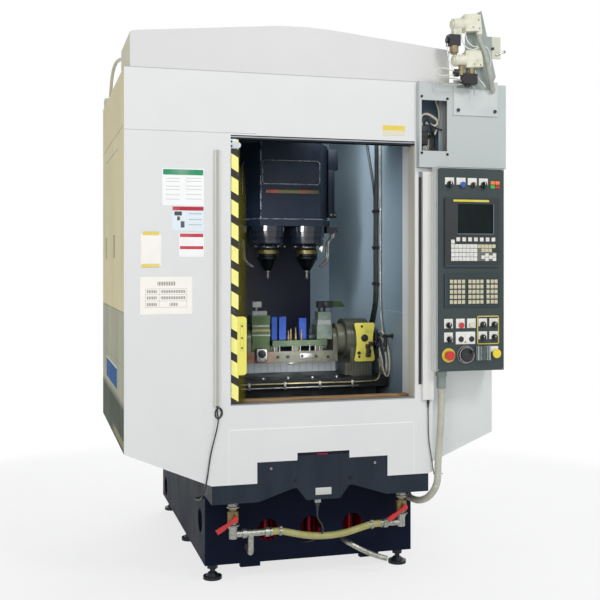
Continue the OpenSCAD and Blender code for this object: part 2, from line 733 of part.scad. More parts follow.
// A ball valve body standing on its lower port
module ball_valve(x) {
    translate([x, pipe_y, 0]) {
        bar_z([0, 0, 268], 34, 107);
        bar_z([0, 0, 296], 50, 48);
        translate([0, 0, 268]) cylinder(d = 46, h = 18, $fn = 6);
        translate([0, 0, 355]) cylinder(d = 46, h = 18, $fn = 6);
        bar_y([0, -46.8, 320], 18, 46.8);
    }
}

module wash_pipework() {
    color("#c2a25c") for (s = [-1, 1]) ball_valve(s * valve_x);
    color("#9b9a94") {
        for (s = [-1, 1]) {
            bar_z([s * valve_x, pipe_y, 372], 28, 325);
            bar_z([s * valve_x, pipe_y, pipe_z - 18], 36, 44);
        }
        bar_x([-valve_x, pipe_y, pipe_z], 28, valve_x - 220);
        bar_x([291, pipe_y, pipe_z], 28, valve_x - 291);
        for (x = [-345, -245]) bar_x([x, pipe_y, pipe_z], 40, 18);
        for (x = [-220, 286]) bar_x([x, pipe_y, pipe_z], 36, 6);
        bar_z([-307, pipe_y, 175], 26, 66);
        bar_x([300, pipe_y, pipe_z], 40, 18);
    }
    color("#6d7048") swept(smoothed([[-307, -700, 180], [-306, -696, 166], [-304, -675, 152],
        [-300, -640, 148], [-296, -600, 148], [-296, -585, 148], [-296, -570, 148]], 3), 26, 10);
    color("#8e9194") swept(smoothed([[150, -570, 150], [150, -580, 150], [150, -590, 150], [156, -620, 148], [174, -642, 140], [215, -655, 118],
        [270, -662, 92], [330, -668, 72]], 3), 24, 10);
}

// A lever on the valve's stem, cranked out and down
module lever(x) {
    color("#c0272d") translate([x, pipe_y, 320]) {
        difference() {
            bar_y([0, -56, 0], 24, 12.5);
            bar_y([0, -47, 0], 18 + 2 * running_gap, 5);
        }
        rotate([0, 58, 0]) {
            block([-8, 8], [-56, -50], [-62, 4]);
            block([-10, 10], [-59, -47.5], [-96, -56]);
        }
    }
}
module valve_lever_left() { lever(-valve_x); }
module valve_lever_right() { lever(valve_x); }

module wash_hose() { color("#d8c24a") swept(wash_hose_route, wash_hose_d, 12); }

// ---- Cables and conduit ----

module panel_conduit() { color("#c9c2a6") swept(conduit_route, conduit_d, 12); }
module sensor_cable() { color("#16181a") swept(sensor_cable_route, sensor_cable_d, 8); }
module roof_cable() { color("#d9d3b4") swept(roof_cable_route, roof_cable_d, 10); }

// Cables clipped down the liner's right wall and round to the rotary unit
module clipped_cables() {
    color("#17191b") for (i = [0:2]) {
        y = -222 - 18 * i;
        fan = i == 0 ? 144 : 0;
        swept(smoothed([[431, y + fan, 2200], [431, y + fan * 0.95, 2080], [431, y + fan * 0.3, 1860],
            [431, y, 1740], [431, y, 1500], [431, y, 1260], [431, y + 20, 1180], [430, -160 - 20 * i, 1104],
            [421, -152 - 20 * i, 1085], [413, -152 - 20 * i, 1085], [405, -152 - 20 * i, 1085]], 2), 12, 8);
    }
    color("#9a9da0") for (z = [1300, 1480, 1660]) block([423, 440], [-272, -208], [z, z + 14]);
}

// ---- Air valves over the right corner ----

module air_bracket() {
    color("#dcdcd4") {
        block([595, 811], [service_y - 6, service_y], [2070, 2225]);
        upright(service_y - 12, 8)
            polygon([[650, 2190], [770, 2190], [799, 2248], [728, 2542], [692, 2523], [650, 2480]]);
        block([610, 770], [service_y - 12, service_y - 5], [2190, 2222]);
        block([748, 822], [service_y - 12, service_y - 4], [2330, 2428]);
        bar_y([782, service_y - 18, 2374], 13, 8);
        for (x = [616, 796]) translate([x, service_y - 14, 2092]) rotate([-90, 0, 0]) cylinder(d = 16, h = 9, $fn = 6);
    }
}

// A valve's slide block and its barrel, tilted on the bracket, from the block's lower left corner
module slide_valve(x, z) {
    translate([x, service_y, z]) rotate([0, -6, 0]) {
        block([0, 79], [-62, -20], [0, 70]);
        block([8, 71], [-54, -28], [69, 77]);
        block([14, 70], [-21, -12], [8, 62]);
        bar_x([-50, -41, 36], 52, 51);
        bar_x([-57, -41, 36], 38, 8);
    }
}

module air_valves() {
    color("#e6e2cc") {
        slide_valve(628, 2432);
        slide_valve(634, 2273);
        bar_z([700, -846, 2424], 28, 24);
        block([573, 611], [-856, -828], [2400, 2456]);
    }
    color("#1d1f22") {
        block([551, 604], [-862, -822], [2368, 2416]);
        bar_x([543, -842, 2392], 26, 9);
        block([618, 686], [-860, -824], [2202, 2248]);
        bar_z([644, -842, 2190], 24, 13);
        bar_x([581, -842, 2250], 34, 20);
    }
    color("#c2a25c") {
        bar_z([580, -842, 2338], 40, 31);
        bar_z([580, -842, 2332], 28, 7);
        bar_z([616, -842, 2240], 28, 42);
        bar_x([600, -842, 2250], 22, 20);
        bar_z([664, -842, 2247], 26, 30);
    }
    color("#b4b8a8") swept([[700, -846, 2424], [700, -846, 2414], [700, -846, 2404], [708, -849, 2380],
        [722, -851, 2350], [733, -852, 2318], [744, -850, 2274], [757, -843, 2232], [771, -830, 2200],
        [781, -820, 2186], [782, -814, 2184], [782, -810, 2184], [782, -806, 2184]], 22, 10);
    color("#d8dad8") swept([[581, -842, 2260], [574, -842, 2260], [566, -842, 2260], [540, -844, 2268],
        [508, -845, 2268], [490, -845, 2256], [492, -844, 2241], [510, -843, 2233], [540, -842, 2236],
        [566, -842, 2240], [574, -842, 2240], [581, -842, 2240]], 6, 8);
}

bed_casting();
levelling_feet();
saddle();
column();
spindle_head();
head_cover();
spindle_housings();
spindle_left();
spindle_right();
coolant_pipes();
fixture_base();
rotary_unit();
rotary_cover();
cradle();
work_clamps();
chip_tray();
front_panel();
front_lower_panel();
roof_hood();
left_side_panel();
right_side_panel();
rear_cabinet();
cabinet_door();
side_door_front();
side_door_rear();
work_liner();
service_box();
door_rails();
door_panel();
door_trailing_panel();
door_grip();
light_curtain();
control_box();
display_unit();
mode_knob();
ready_button();
key_switch();
lamp_knob();
upper_selector();
lower_selector();
stop_button();
start_button();
override_knob_1();
override_knob_2();
override_knob_3();
override_knob_4();
emergency_stop();
handwheel();
guard_flap();
release_button();
wash_pipework();
valve_lever_left();
valve_lever_right();
wash_hose();
panel_conduit();
sensor_cable();
clipped_cables();
roof_cable();
air_bracket();
air_valves();
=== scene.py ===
"""Looks of a valve finishing machine: a sheet metal cabin with its front door slid open on a
two-spindle head, a tilting fixture, an operator panel at the right and a cast bed below."""

import math

import bpy  # noqa: E402
from mathutils import Matrix, Vector  # noqa: E402


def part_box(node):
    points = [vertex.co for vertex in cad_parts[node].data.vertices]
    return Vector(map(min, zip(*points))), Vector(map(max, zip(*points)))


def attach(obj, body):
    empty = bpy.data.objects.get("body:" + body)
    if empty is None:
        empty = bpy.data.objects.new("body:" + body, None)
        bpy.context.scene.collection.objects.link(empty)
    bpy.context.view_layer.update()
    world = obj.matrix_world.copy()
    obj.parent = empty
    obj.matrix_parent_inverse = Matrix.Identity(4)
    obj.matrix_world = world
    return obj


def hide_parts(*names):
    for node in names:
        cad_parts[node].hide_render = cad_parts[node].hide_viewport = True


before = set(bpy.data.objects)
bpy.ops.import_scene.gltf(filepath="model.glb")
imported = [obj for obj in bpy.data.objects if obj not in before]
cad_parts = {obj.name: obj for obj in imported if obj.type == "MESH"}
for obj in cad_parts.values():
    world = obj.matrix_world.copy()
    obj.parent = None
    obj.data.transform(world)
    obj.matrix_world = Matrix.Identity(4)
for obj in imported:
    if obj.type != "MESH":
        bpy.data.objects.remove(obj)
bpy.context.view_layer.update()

# ---------------------------------------------------------------- the place it stands in
# A pale floor, a white room and three large soft lamps: one high at the front left, one at the
# front right that reaches into the work space, and one behind that lights the rear cabinet.
scene = bpy.context.scene
scene.view_settings.view_transform = "Standard"

lens = bpy.data.cameras.new("lens")
lens.lens = 58.3
lens.sensor_width = 36.0
lens.shift_y = -0.0583
camera = bpy.data.objects.new("camera", lens)
camera.location = (-1.224, -4.80, 1.40)
camera.rotation_euler = (math.radians(90.0), 0.0, math.radians(-15.5))
scene.collection.objects.link(camera)
scene.camera = camera


def soft_lamp(name, place, aim, width, power, cone=180.0):
    """A square area lamp at a place, turned to face a point, its light kept within a cone."""
    light = bpy.data.lights.new(name, "AREA")
    light.size = width
    light.energy = power
    light.spread = math.radians(cone)
    lamp = bpy.data.objects.new(name, light)
    lamp.location = place
    lamp.rotation_euler = (Vector(aim) - Vector(place)).to_track_quat("-Z", "Y").to_euler()
    scene.collection.objects.link(lamp)


soft_lamp("front_left_lamp", (-2.6, -6.2, 3.3), (0.0, 0.0, 1.1), 3.0, 92.0)
soft_lamp("front_right_lamp", (1.9, -5.6, 5.4), (0.0, -0.3, 1.2), 1.3, 112.0)
soft_lamp("rear_lamp", (1.5, 5.5, 3.6), (0.0, 0.5, 1.2), 3.0, 150.0)


def tone(red, green, blue):
    """A colour given as a screen shows it, 0 to 255, as the linear colour that a node takes."""
    shares = [part / 255 for part in (red, green, blue)]
    return [s / 12.92 if s <= 0.04045 else ((s + 0.055) / 1.055) ** 2.4 for s in shares] + [1.0]


class Wire:
    """A socket in a finish. Sums, products and comparisons of wires add their Math nodes."""

    def __init__(self, finish, socket):
        self.finish = finish
        self.socket = socket

    def other(self, name):
        """Another output of the same node."""
        return Wire(self.finish, self.socket.node.outputs[name])

    def maths(self, operation, second=0.0):
        return self.finish.node("ShaderNodeMath", {"operation": operation}, {0: self, 1: second})

    def __rsub__(self, other):
        return self.finish.node("ShaderNodeMath", {"operation": "SUBTRACT"}, {0: other, 1: self})

    def slope(self, low, high):
        """0 below low, 1 above high and even between them."""
        return self.finish.node(
            "ShaderNodeMapRange", sockets={"Value": self, "From Min": low, "From Max": high}
        )

    def within(self, low, high):
        """1 where the value lies between the two, and 0 elsewhere."""
        return (self > low) * (self < high)


def math_node(operation):
    return lambda wire, second=0.0: wire.maths(operation, second)


for method, operation in (
    ("__add__", "ADD"), ("__radd__", "ADD"), ("__sub__", "SUBTRACT"), ("__mul__", "MULTIPLY"),
    ("__rmul__", "MULTIPLY"), ("__lt__", "LESS_THAN"), ("__gt__", "GREATER_THAN"), ("__or__", "MAXIMUM"),
    ("__and__", "MINIMUM"), ("__abs__", "ABSOLUTE"), ("root", "SQRT"), ("sine", "SINE"),
    ("cosine", "COSINE"), ("angle_from", "ARCTAN2"),
):
    setattr(Wire, method, math_node(operation))


class Finish:
    """One paint, metal or plastic, made of nodes that read in metres where a point is on its piece."""

    def __init__(self, name, tree=None):
        self.material = None if tree else bpy.data.materials.new(name)
        if tree is None:
            self.material.use_nodes = True
            tree = self.material.node_tree
        self.tree = tree
        self.tree.nodes.clear()

    def node(self, kind, settings=None, sockets=None, out=0):
        """Adds a node: its settings first, then the values or wires of its sockets."""
        made = self.tree.nodes.new(kind)
        for name, value in (settings or {}).items():
            setattr(made, name, value)
        for name, value in (sockets or {}).items():
            if isinstance(value, Wire):
                self.tree.links.new(value.socket, made.inputs[name])
            else:
                made.inputs[name].default_value = value
        return Wire(self, made.outputs[out]) if made.outputs else None

    def blend(self, share, first, second):
        """One colour at share 0 and the other at share 1."""
        first, second = (tone(*c) if isinstance(c, tuple) else c for c in (first, second))
        return self.node("ShaderNodeMix", {"data_type": "RGBA"}, {0: share, 6: first, 7: second}, out=2)

    def ramp(self, share, stops):
        """A colour for each stop, with even changes between them."""
        wire = self.node("ShaderNodeValToRGB", sockets={0: share})
        ramp = wire.socket.node.color_ramp
        for _ in stops[2:]:
            ramp.elements.new(1.0)
        for stop, (at, colour) in zip(ramp.elements, stops):
            stop.position = at
            stop.color = tone(*colour)
        return wire

    def spot(self):
        """Where the point is, in the object's own frame."""
        return self.node("ShaderNodeTexCoord", out="Object")

    def axes(self):
        """The point's x, y and z as three wires."""
        x = self.node("ShaderNodeSeparateXYZ", sockets={0: self.spot()})
        return x, x.other("Y"), x.other("Z")

    def cloud(self, scale, detail=3.0, stretch=(1.0, 1.0, 1.0)):
        """Soft noise of about 1 / scale metres, pulled out along the axes whose stretch is small."""
        drawn = self.node("ShaderNodeMapping", sockets={"Vector": self.spot(), "Scale": stretch})
        return self.node("ShaderNodeTexNoise", sockets={"Vector": drawn, "Scale": scale, "Detail": detail})

    def relief(self, height, depth, strength=1.0):
        return self.node(
            "ShaderNodeBump", sockets={"Height": height, "Distance": depth, "Strength": strength}
        )

    def surface(self, base_color, **sockets):
        """The surface itself. A socket is named as in coat_weight for Coat Weight."""
        named = {key.replace("_", " ").title().replace("Ior", "IOR"): sockets[key] for key in sockets}
        named["Base Color"] = tone(*base_color) if isinstance(base_color, tuple) else base_color
        shader = self.node("ShaderNodeBsdfPrincipled", sockets=named)
        self.node("ShaderNodeOutputMaterial", sockets={"Surface": shader})
        return self.material


def weathered(name, cloud, share, first, second, roughness, spread=0.0, relief=None, **sockets):
    """Two colours that a soft cloud mixes. The roughness spreads with it, and it may stand out."""
    mix = Finish(name)
    wear = mix.cloud(*cloud).slope(*share)
    if relief:
        sockets["normal"] = mix.relief(wear, *relief)
    if spread:
        roughness = roughness + wear * spread
    return mix.surface(mix.blend(wear, first, second), roughness=roughness, **sockets)


def studio_white(finish):
    """1 for the rays that should see a white room: those of the eye, of gloss and of clear covers."""
    eye = finish.node("ShaderNodeLightPath", out="Is Camera Ray")
    seen = eye | eye.other("Is Glossy Ray")
    return seen | eye.other("Is Transmission Ray")


room = bpy.data.worlds.new("room")
room.use_nodes = True
scene.world = room
mix = Finish("air", room.node_tree)
lit = mix.node("ShaderNodeBackground", sockets={"Color": tone(250, 252, 255), "Strength": 0.5})
shown = mix.node("ShaderNodeBackground", sockets={"Color": (1, 1, 1, 1), "Strength": 1})
sky = mix.node("ShaderNodeMixShader", sockets={0: studio_white(mix), 1: lit, 2: shown})
mix.node("ShaderNodeOutputWorld", sockets={"Surface": sky})

bpy.ops.object.select_all(action="DESELECT")
bpy.ops.mesh.primitive_plane_add(size=60)
floor = bpy.context.object
floor.name = "studio_floor"
mix = Finish("studio_floor")
matt = mix.node(
    "ShaderNodeBsdfDiffuse", sockets={"Color": mix.blend(mix.cloud(3), (240, 240, 240), (250, 250, 250))},
)
glow = mix.node("ShaderNodeEmission", sockets={"Strength": 1})
reach = mix.node("ShaderNodeVectorMath", {"operation": "LENGTH"}, {0: mix.spot()}, out=1)
whiter = reach.slope(1.5, 3) | 0.74
pale = mix.node("ShaderNodeMixShader", sockets={0: studio_white(mix) * whiter, 1: matt, 2: glow})
mix.node("ShaderNodeOutputMaterial", sockets={"Surface": pale})
floor.data.materials.append(mix.material)

# ---------------------------------------------------------------- cords
# The soft hose between the two wash valves, the ribbed conduit of the operator panel, the thin
# lead of the light curtain and the lead along the roof edge. Each runs from gland to gland.


def cord_line(name, route, diameter, finish):
    """A round cord on a smooth curve through a route in millimetres.
    Its diameter is in metres."""
    curve = bpy.data.curves.new(name, "CURVE")
    curve.dimensions = "3D"
    curve.bevel_depth = diameter / 2
    curve.bevel_resolution = 5
    curve.use_fill_caps = True
    line = curve.splines.new("BEZIER")
    line.resolution_u = 6
    line.bezier_points.add(len(route) - 1)
    for knot, place in zip(line.bezier_points, route):
        knot.co = [part / 1000 for part in place]
        knot.handle_left_type = knot.handle_right_type = "AUTO"
    cord = bpy.data.objects.new(name + "_cord", curve)
    scene.collection.objects.link(cord)
    curve.materials.append(finish)
    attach(cord, "machine")
    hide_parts(name)


mix = Finish("olive_hose")
weave = mix.node(
    "ShaderNodeTexWave", {"bands_direction": "X"}, {"Vector": mix.spot(), "Scale": 60, "Distortion": 0.4},
)
dusty = mix.cloud(26).slope(0.35, 0.75)
olive_hose = mix.surface(
    mix.blend(dusty, (164, 160, 96), (184, 180, 124)), roughness=0.42 + dusty * 0.2,
    normal=mix.relief(weave, 0.0004, 0.5),
)

mix = Finish("grey_conduit")
x, y, z = mix.axes()
rings = ((z + y * 0.6) * 900).sine()
rubbed = mix.cloud(18).slope(0.3, 0.8)
grey_conduit = mix.surface(
    mix.blend(rubbed, (188, 188, 172), (208, 207, 192)), roughness=0.45 + rubbed * 0.15,
    normal=mix.relief(rings, 0.0012, 0.7),
)

black_lead = weathered("black_lead", (40,), (0.4, 0.8), (24, 27, 30), (52, 56, 58), 0.4, 0.2)
cream_lead = weathered("cream_lead", (34,), (0.35, 0.8), (214, 208, 188), (190, 184, 160), 0.45, 0.15)

cord_line(
    "wash_hose",
    [(-214, -700, 243), (-204, -700, 243), (-194, -700, 243), (-171, -700, 241), (-140, -701, 234.5),
     (-103, -702, 225.5), (-60, -704, 216.5), (-13, -705, 210.5), (35, -705, 208.5), (83, -705, 210.5),
     (130, -704, 216.5), (172, -702, 225.5), (210, -701, 234.5), (242, -700, 241), (266, -700, 243),
     (276, -700, 243), (286, -700, 243)],
    0.03, olive_hose,
)
cord_line(
    "panel_conduit",
    [(547, -780, 850), (547, -780, 825), (547, -780, 800), (544, -782, 720), (538, -785, 640),
     (531, -786, 560), (528, -786, 502), (527, -786, 462), (524.5, -784, 430.5), (516.5, -772.5, 397),
     (505.5, -752, 367.5), (492.5, -724, 345.5), (480.5, -693, 332.5), (470.5, -660, 328), (465, -633, 328),
     (462.5, -610, 328), (462, -599, 328), (462, -588, 328)],
    0.031, grey_conduit,
)
cord_line(
    "sensor_cable",
    [(-468, -776, 800), (-468, -776, 790), (-468, -777, 778), (-466, -785, 752), (-472, -790, 718),
     (-484, -785, 664), (-496, -780, 610), (-504, -779, 560), (-511, -778, 510), (-519, -770, 462),
     (-525, -742, 424), (-527, -690, 399), (-527, -625, 382), (-527, -585, 375), (-526.5, -565, 372.5),
     (-523, -552.5, 372), (-514.5, -543.5, 372), (-502, -540, 372), (-499, -540, 372)],
    0.006, black_lead,
)
cord_line(
    "roof_cable",
    [(-800, -364, 2330), (-800, -354, 2330), (-800, -344, 2330), (-804, -296, 2339), (-812, -240, 2352),
     (-819, -184, 2363), (-826, -130, 2366), (-832, -78, 2361), (-836, -30, 2348), (-839, 12, 2325),
     (-840, 50, 2299), (-840, 81, 2272), (-840, 110, 2251), (-838, 139, 2237), (-836, 170, 2231),
     (-834, 205, 2230), (-832, 240, 2232), (-831, 273, 2237), (-830, 300, 2240), (-830, 320, 2240),
     (-830, 340, 2240)],
    0.016, cream_lead,
)

# ---------------------------------------------------------------- bed casting and its feet
# A cored iron casting painted navy, rough from the sand, red primer left inside its core holes.
# It stands on six screw feet.


def coat(finish, *nodes):
    """Paints whole CAD nodes with one finish."""
    for name in nodes:
        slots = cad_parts[name].data.materials
        slots.clear()
        slots.append(finish)


mix = Finish("navy_casting")
x, y, z = mix.axes()
inside = x.within(-0.3, 0.3) * y.within(-0.566, -0.06) * z.within(0.1, 0.4)
sand = mix.cloud(320, 4)
stain = mix.cloud(5, 4).slope(0.35, 0.75)
# Painted sheen: the side faces turn a lighter greenish grey towards the back, fading out towards the floor.
side = abs(x).slope(0.47, 0.484) * z.slope(0.05, 0.7)
skin = mix.blend(stain, (9, 16, 36), (15, 23, 44))
rear = 1 - y.slope(-0.55, 0.2)
painted_flank_sheen = mix.blend(rear * 0.8, (38, 56, 54), (16, 26, 38))
skin = mix.blend(side, skin, painted_flank_sheen)
bars = (x * 330).sine().slope(-0.2, 0.4)
navy_casting = mix.surface(
    mix.blend(inside, skin, mix.blend(bars, (62, 14, 22), (168, 30, 40))), roughness=0.55 + stain * 0.15,
    specular_ior_level=0.1, normal=mix.relief(sand, 0.0012, 0.55),
)
coat(navy_casting, "bed_casting")

blued_steel = weathered(
    "blued_steel", (60, 4), (0.35, 0.7), (20, 24, 30), (46, 50, 55), 0.38, 0.25, (0.0003, 0.4),
    metallic=0.5,
)
coat(blued_steel, "levelling_feet")


def box_mm(node):
    """The low and the high corner of a CAD node, in millimetres, as all sizes of pieces are."""
    return [corner * 1000 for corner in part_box(node)]


def begin(name):
    """Names the primitive just added, brings its size into its mesh and opens it for shaping."""
    piece = bpy.context.object
    piece.name = piece.data.name = name
    bpy.ops.object.transform_apply()
    bpy.ops.object.mode_set(mode="EDIT")
    bpy.ops.mesh.select_all(action="SELECT")
    return piece


def end(piece, finish, body, moves=()):
    """Closes a piece, gives it its finish, lets it ride on a body and repeats it at each move."""
    bpy.ops.object.mode_set(mode="OBJECT")
    bpy.ops.object.transform_apply()
    bpy.ops.object.shade_smooth_by_angle(angle=math.radians(35))
    piece.data.materials.append(finish)
    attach(piece, body)
    bpy.ops.object.select_all(action="DESELECT")
    for move in moves:
        twin = piece.copy()
        twin.data = piece.data.copy()
        twin.data.transform(Matrix.Translation(Vector(move) / 1000))
        scene.collection.objects.link(twin)
        twin.select_set(True)
    piece.select_set(True)
    if moves:
        bpy.ops.object.join()


def block(name, low, high, edge, finish, body="machine", steps=2, moves=()):
    """A block between two corners with its edges rounded."""
    bpy.ops.object.select_all(action="DESELECT")
    middle = [(a + b) / 2000 for a, b in zip(low, high)]
    reach = [abs(b - a) / 1000 for a, b in zip(low, high)]
    bpy.ops.mesh.primitive_cube_add(size=1, location=middle, scale=reach)
    piece = begin(name)
    bpy.ops.mesh.bevel(offset=edge / 1000, segments=steps, affect="EDGES", clamp_overlap=True)
    end(piece, finish, body, moves)


def turned(name, place, axis, rings, finish, body="machine", sides=32, moves=()):
    """A round piece grown ring by ring along an axis. A ring is a distance and a radius."""
    (start, radius), *grown = [(reach / 1000, wide / 1000) for reach, wide in rings]
    bpy.ops.object.select_all(action="DESELECT")
    bpy.ops.mesh.primitive_circle_add(
        vertices=sides, radius=radius, fill_type="NGON", location=(0, 0, start),
    )
    piece = begin(name)
    for reach, wide in grown:
        bpy.ops.mesh.extrude_region_move(TRANSFORM_OT_translate={"value": (0, 0, reach - start)})
        share = wide / radius
        bpy.ops.transform.resize(value=(share, share, 1), center_override=(0, 0, reach))
        start, radius = reach, wide
    bpy.ops.mesh.select_all(action="SELECT")
    bpy.ops.mesh.normals_make_consistent(inside=False)
    bpy.ops.object.mode_set(mode="OBJECT")
    piece.rotation_euler = Vector(axis).to_track_quat("Z", "Y").to_euler()
    piece.location = Vector(place) / 1000
    end(piece, finish, body, moves)


def bent_rod(name, route, diameter, finish, body="machine", smooth=True, sides=3):
    """A rod, tube or wire along a route, made as a curve and then turned into a mesh."""
    bpy.ops.object.select_all(action="DESELECT")
    bpy.ops.curve.primitive_bezier_curve_add()
    piece = bpy.context.object
    curve = piece.data
    curve.splines.clear()
    line = curve.splines.new("BEZIER")
    line.bezier_points.add(len(route) - 1)
    for knot, place in zip(line.bezier_points, route):
        knot.co = Vector(place) / 1000
        knot.handle_left_type = knot.handle_right_type = "AUTO" if smooth else "VECTOR"
    line.resolution_u = 6 if smooth else 1
    curve.dimensions = "3D"
    curve.bevel_depth = diameter / 2000
    curve.bevel_resolution = sides
    curve.use_fill_caps = True
    bpy.ops.object.convert(target="MESH")
    piece = bpy.context.object
    piece.name = piece.data.name = name
    bpy.ops.object.mode_set(mode="EDIT")
    bpy.ops.mesh.select_all(action="SELECT")
    bpy.ops.mesh.remove_doubles(threshold=1e-05)
    bpy.ops.mesh.normals_make_consistent(inside=False)
    end(piece, finish, body)


def socket_screw(name, place, axis, radius, finish, body="machine", moves=()):
    """A cap screw: a rounded head with a dished socket, seen from outside."""
    profile = ((0, 1), (0.8, 1), (1, 0.86), (1, 0.5), (0.55, 0.45))
    rings = [(reach * radius, wide * radius) for reach, wide in profile]
    turned(name, place, axis, rings, finish, body, 14, moves)


forward, upward, downward = (0, -1, 0), (0, 0, 1), (0, 0, -1)
zinc_screws = weathered(
    "zinc_screws", (90,), (0.35, 0.7), (120, 122, 120), (176, 178, 176), 0.3, 0.2, metallic=0.85,
)

# ---------------------------------------------------------------- chip tray and front apron
# Folded dark slate sheet over the bed, with a stepped apron and a tongue at its middle. A bare
# rating plate and four cap screws are on the apron, and a plug hangs below the tongue.
apron_front = -767
mix = Finish("slate_tray")
x, y, z = mix.axes()
peel = mix.cloud(420, 2)
drip = mix.cloud(16, 4, (1, 1, 0.25)).slope(0.4, 0.8)
# Painted shade: above the apron's top fold the front is painted near black for the gap there, with a small
# red mark in it.
gap_shade = z.slope(0.5785, 0.5795) * (y < -0.76)
red_edge = gap_shade * x.within(-0.029, 0.02) * (z < 0.585)
sheet_paint = mix.blend(gap_shade, mix.blend(drip, (30, 39, 50), (42, 51, 62)), (8, 10, 18))
slate_tray = mix.surface(
    mix.blend(red_edge, sheet_paint, (140, 30, 52)), roughness=0.46 + drip * 0.14, specular_ior_level=0.2,
    normal=mix.relief(peel, 0.0005, 0.35),
)
coat(slate_tray, "chip_tray")
socket_screw("apron_screws", (-235, apron_front, 531.5), forward, 6.5, zinc_screws, moves=[(470, 0, 0)])
socket_screw("apron_dark_screws", (-124, apron_front, 472), forward, 6, blued_steel, moves=[(248, 0, 0)])

mix = Finish("bare_plate")
brushed = mix.cloud(60, 4, (0.05, 1, 3))
bare_plate = mix.surface(
    mix.blend(brushed, (186, 190, 184), (206, 209, 203)), metallic=0.4, roughness=0.34 + brushed * 0.12,
)
block("rating_plate", (-36, apron_front - 1.5, 405), (36, apron_front, 436), 0.6, bare_plate)
block("tray_plug_socket", (-34, -752, 366), (-6, -728, 386), 3, zinc_screws)
turned(
    "tray_plug", (-20, -740, 366), downward, [(0, 9), (16, 9), (18, 6), (34, 6), (38, 4)], black_lead,
    sides=20,
)
bent_rod(
    "tray_plug_lead",
    [(-20, -740, 330), (-18, -740, 300), (4, -736, 262), (10, -715, 222), (-4, -660, 185), (-30, -610, 160),
     (-50, -572, 150)],
    7, black_lead,
)

# ---------------------------------------------------------------- wash pipework
# Galvanised elbows and tees screwed to two brass ball valves with red levers. The soft hose
# between them is held by two band clips.
mix = Finish("galvanised_pipe")
x, y, z = mix.axes()
column_of_valve = abs(x).within(0.355, 0.415)
brass_part = column_of_valve * z.within(0.292, 0.356)
spangle = mix.cloud(110, 4).slope(0.3, 0.75)
grey_metal = mix.blend(spangle, (126, 128, 118), (186, 188, 180))
yellow_metal = mix.blend(spangle, (104, 88, 58), (150, 132, 90))
galvanised_pipe = mix.surface(
    mix.blend(brass_part, grey_metal, yellow_metal), metallic=0.8, roughness=0.28 + spangle * 0.22,
    normal=mix.relief(spangle, 0.0004, 0.4),
)
coat(galvanised_pipe, "wash_pipework")

mix = Finish("red_lever_dip")
thick = mix.cloud(70)
red_lever_dip = mix.surface(
    mix.blend(thick.slope(0.3, 0.8), (206, 24, 24), (176, 16, 20)), roughness=0.3 + thick * 0.12,
    coat_weight=0.4, normal=mix.relief(thick, 0.0006, 0.4),
)
coat(red_lever_dip, "valve_lever_left", "valve_lever_right")

turned(
    "hose_clips", (-176, -700.6, 240.2), (1, 0, -0.08), [(-6, 16.5), (-5.5, 17.2), (5.5, 17.2), (6, 16.5)],
    zinc_screws, sides=28,
)
turned(
    "hose_clip_right", (243, -701, 238.4), (1, 0, 0.3), [(-6, 16.5), (-5.5, 17.2), (5.5, 17.2), (6, 16.5)],
    zinc_screws, sides=28,
)
block("clip_screws", (-182, -711, 255.5), (-168, -690, 264), 2, zinc_screws, moves=[(419, -0.5, -2)])
turned(
    "valve_collars", (-385, -700, 358.5), upward, [(0, 25.5), (1, 28.5), (5, 28.5), (6, 25.5)], zinc_screws,
    sides=36, moves=[(770, 0, 0), (0, 0, -78), (770, 0, -78)],
)
turned(
    "valve_nuts", (-385, -700, 364), upward, [(0, 17.5), (1, 19.5), (15, 19.5), (16, 17.5)],
    galvanised_pipe, sides=6, moves=[(770, 0, 0)],
)

# ---------------------------------------------------------------- saddle and column
# The saddle slides on the bed and carries a welded column, both under painted covers. The column
# front is a plain dark sheet, its left part painted olive as the light from the left tints it.
mix = Finish("column_sheet")
x, y, z = mix.axes()
haze = mix.cloud(6, 4, (1, 1, 0.4)).slope(0.45, 0.9)
# Painted light: olive towards the left of the column.
olive_light_from_left = 1 - x.slope(-0.22, -0.02)
ink_and_olive_light = mix.blend(olive_light_from_left, (14, 20, 42), (44, 46, 32))
column_sheet = mix.surface(
    mix.blend(haze * 0.4, ink_and_olive_light, (30, 36, 56)), roughness=0.4 + haze * 0.2, specular_ior_level=0.25,
    normal=mix.relief(mix.cloud(300, 2), 0.0004, 0.3),
)
coat(column_sheet, "column", "saddle")

# ---------------------------------------------------------------- spindle head
# A cast head painted charcoal, with the cover of its drives at the front. The cover has a light
# gasket edge and six dark screws, with a strip under it that carries a painted coloured reflection.
# Painted highlights run down the head's front-left edge and along its lower rim. A light stay, a
# sight glass, a lug and two flat covers are screwed to its sides.
head_front = box_mm("spindle_head")[0].y
cover_low, cover_high = box_mm("head_cover")
mix = Finish("charcoal_head")
x, y, z = mix.axes()
highlight_dashes = mix.cloud(70, 5).slope(0.46, 0.56)
# Painted highlight: light dashes down the front-left edge and a dimmer broken line along the lower rim.
edge = x.within(-0.1535, -0.1475) * y.within(-0.225, -0.205) * highlight_dashes
rim = z.within(1.6215, 1.6275) * mix.cloud(30).slope(0.35, 0.6)
cast = mix.cloud(240, 3)
soot = mix.cloud(7, 4).slope(0.35, 0.8)
paint = mix.blend(soot, (16, 25, 40), (22, 33, 48))
charcoal_head = mix.surface(
    mix.blend(edge | rim * 0.7, paint, (128, 134, 142)), roughness=0.42 + soot * 0.16,
    specular_ior_level=0.25, normal=mix.relief(cast, 0.0006, 0.35),
)
coat(charcoal_head, "spindle_head")

mix = Finish("head_cover_paint")
x, y, z = mix.axes()
back_edge = 1 - y.slope((cover_low.y + 4) / 1000, (cover_low.y + 6) / 1000)
fog = mix.cloud(9, 4).slope(0.35, 0.8)
head_cover_paint = mix.surface(
    mix.blend(1 - back_edge, mix.blend(fog, (22, 31, 43), (30, 40, 51)), (96, 100, 108)),
    roughness=0.42 + fog * 0.16, specular_ior_level=0.25,
)
coat(head_cover_paint, "head_cover")

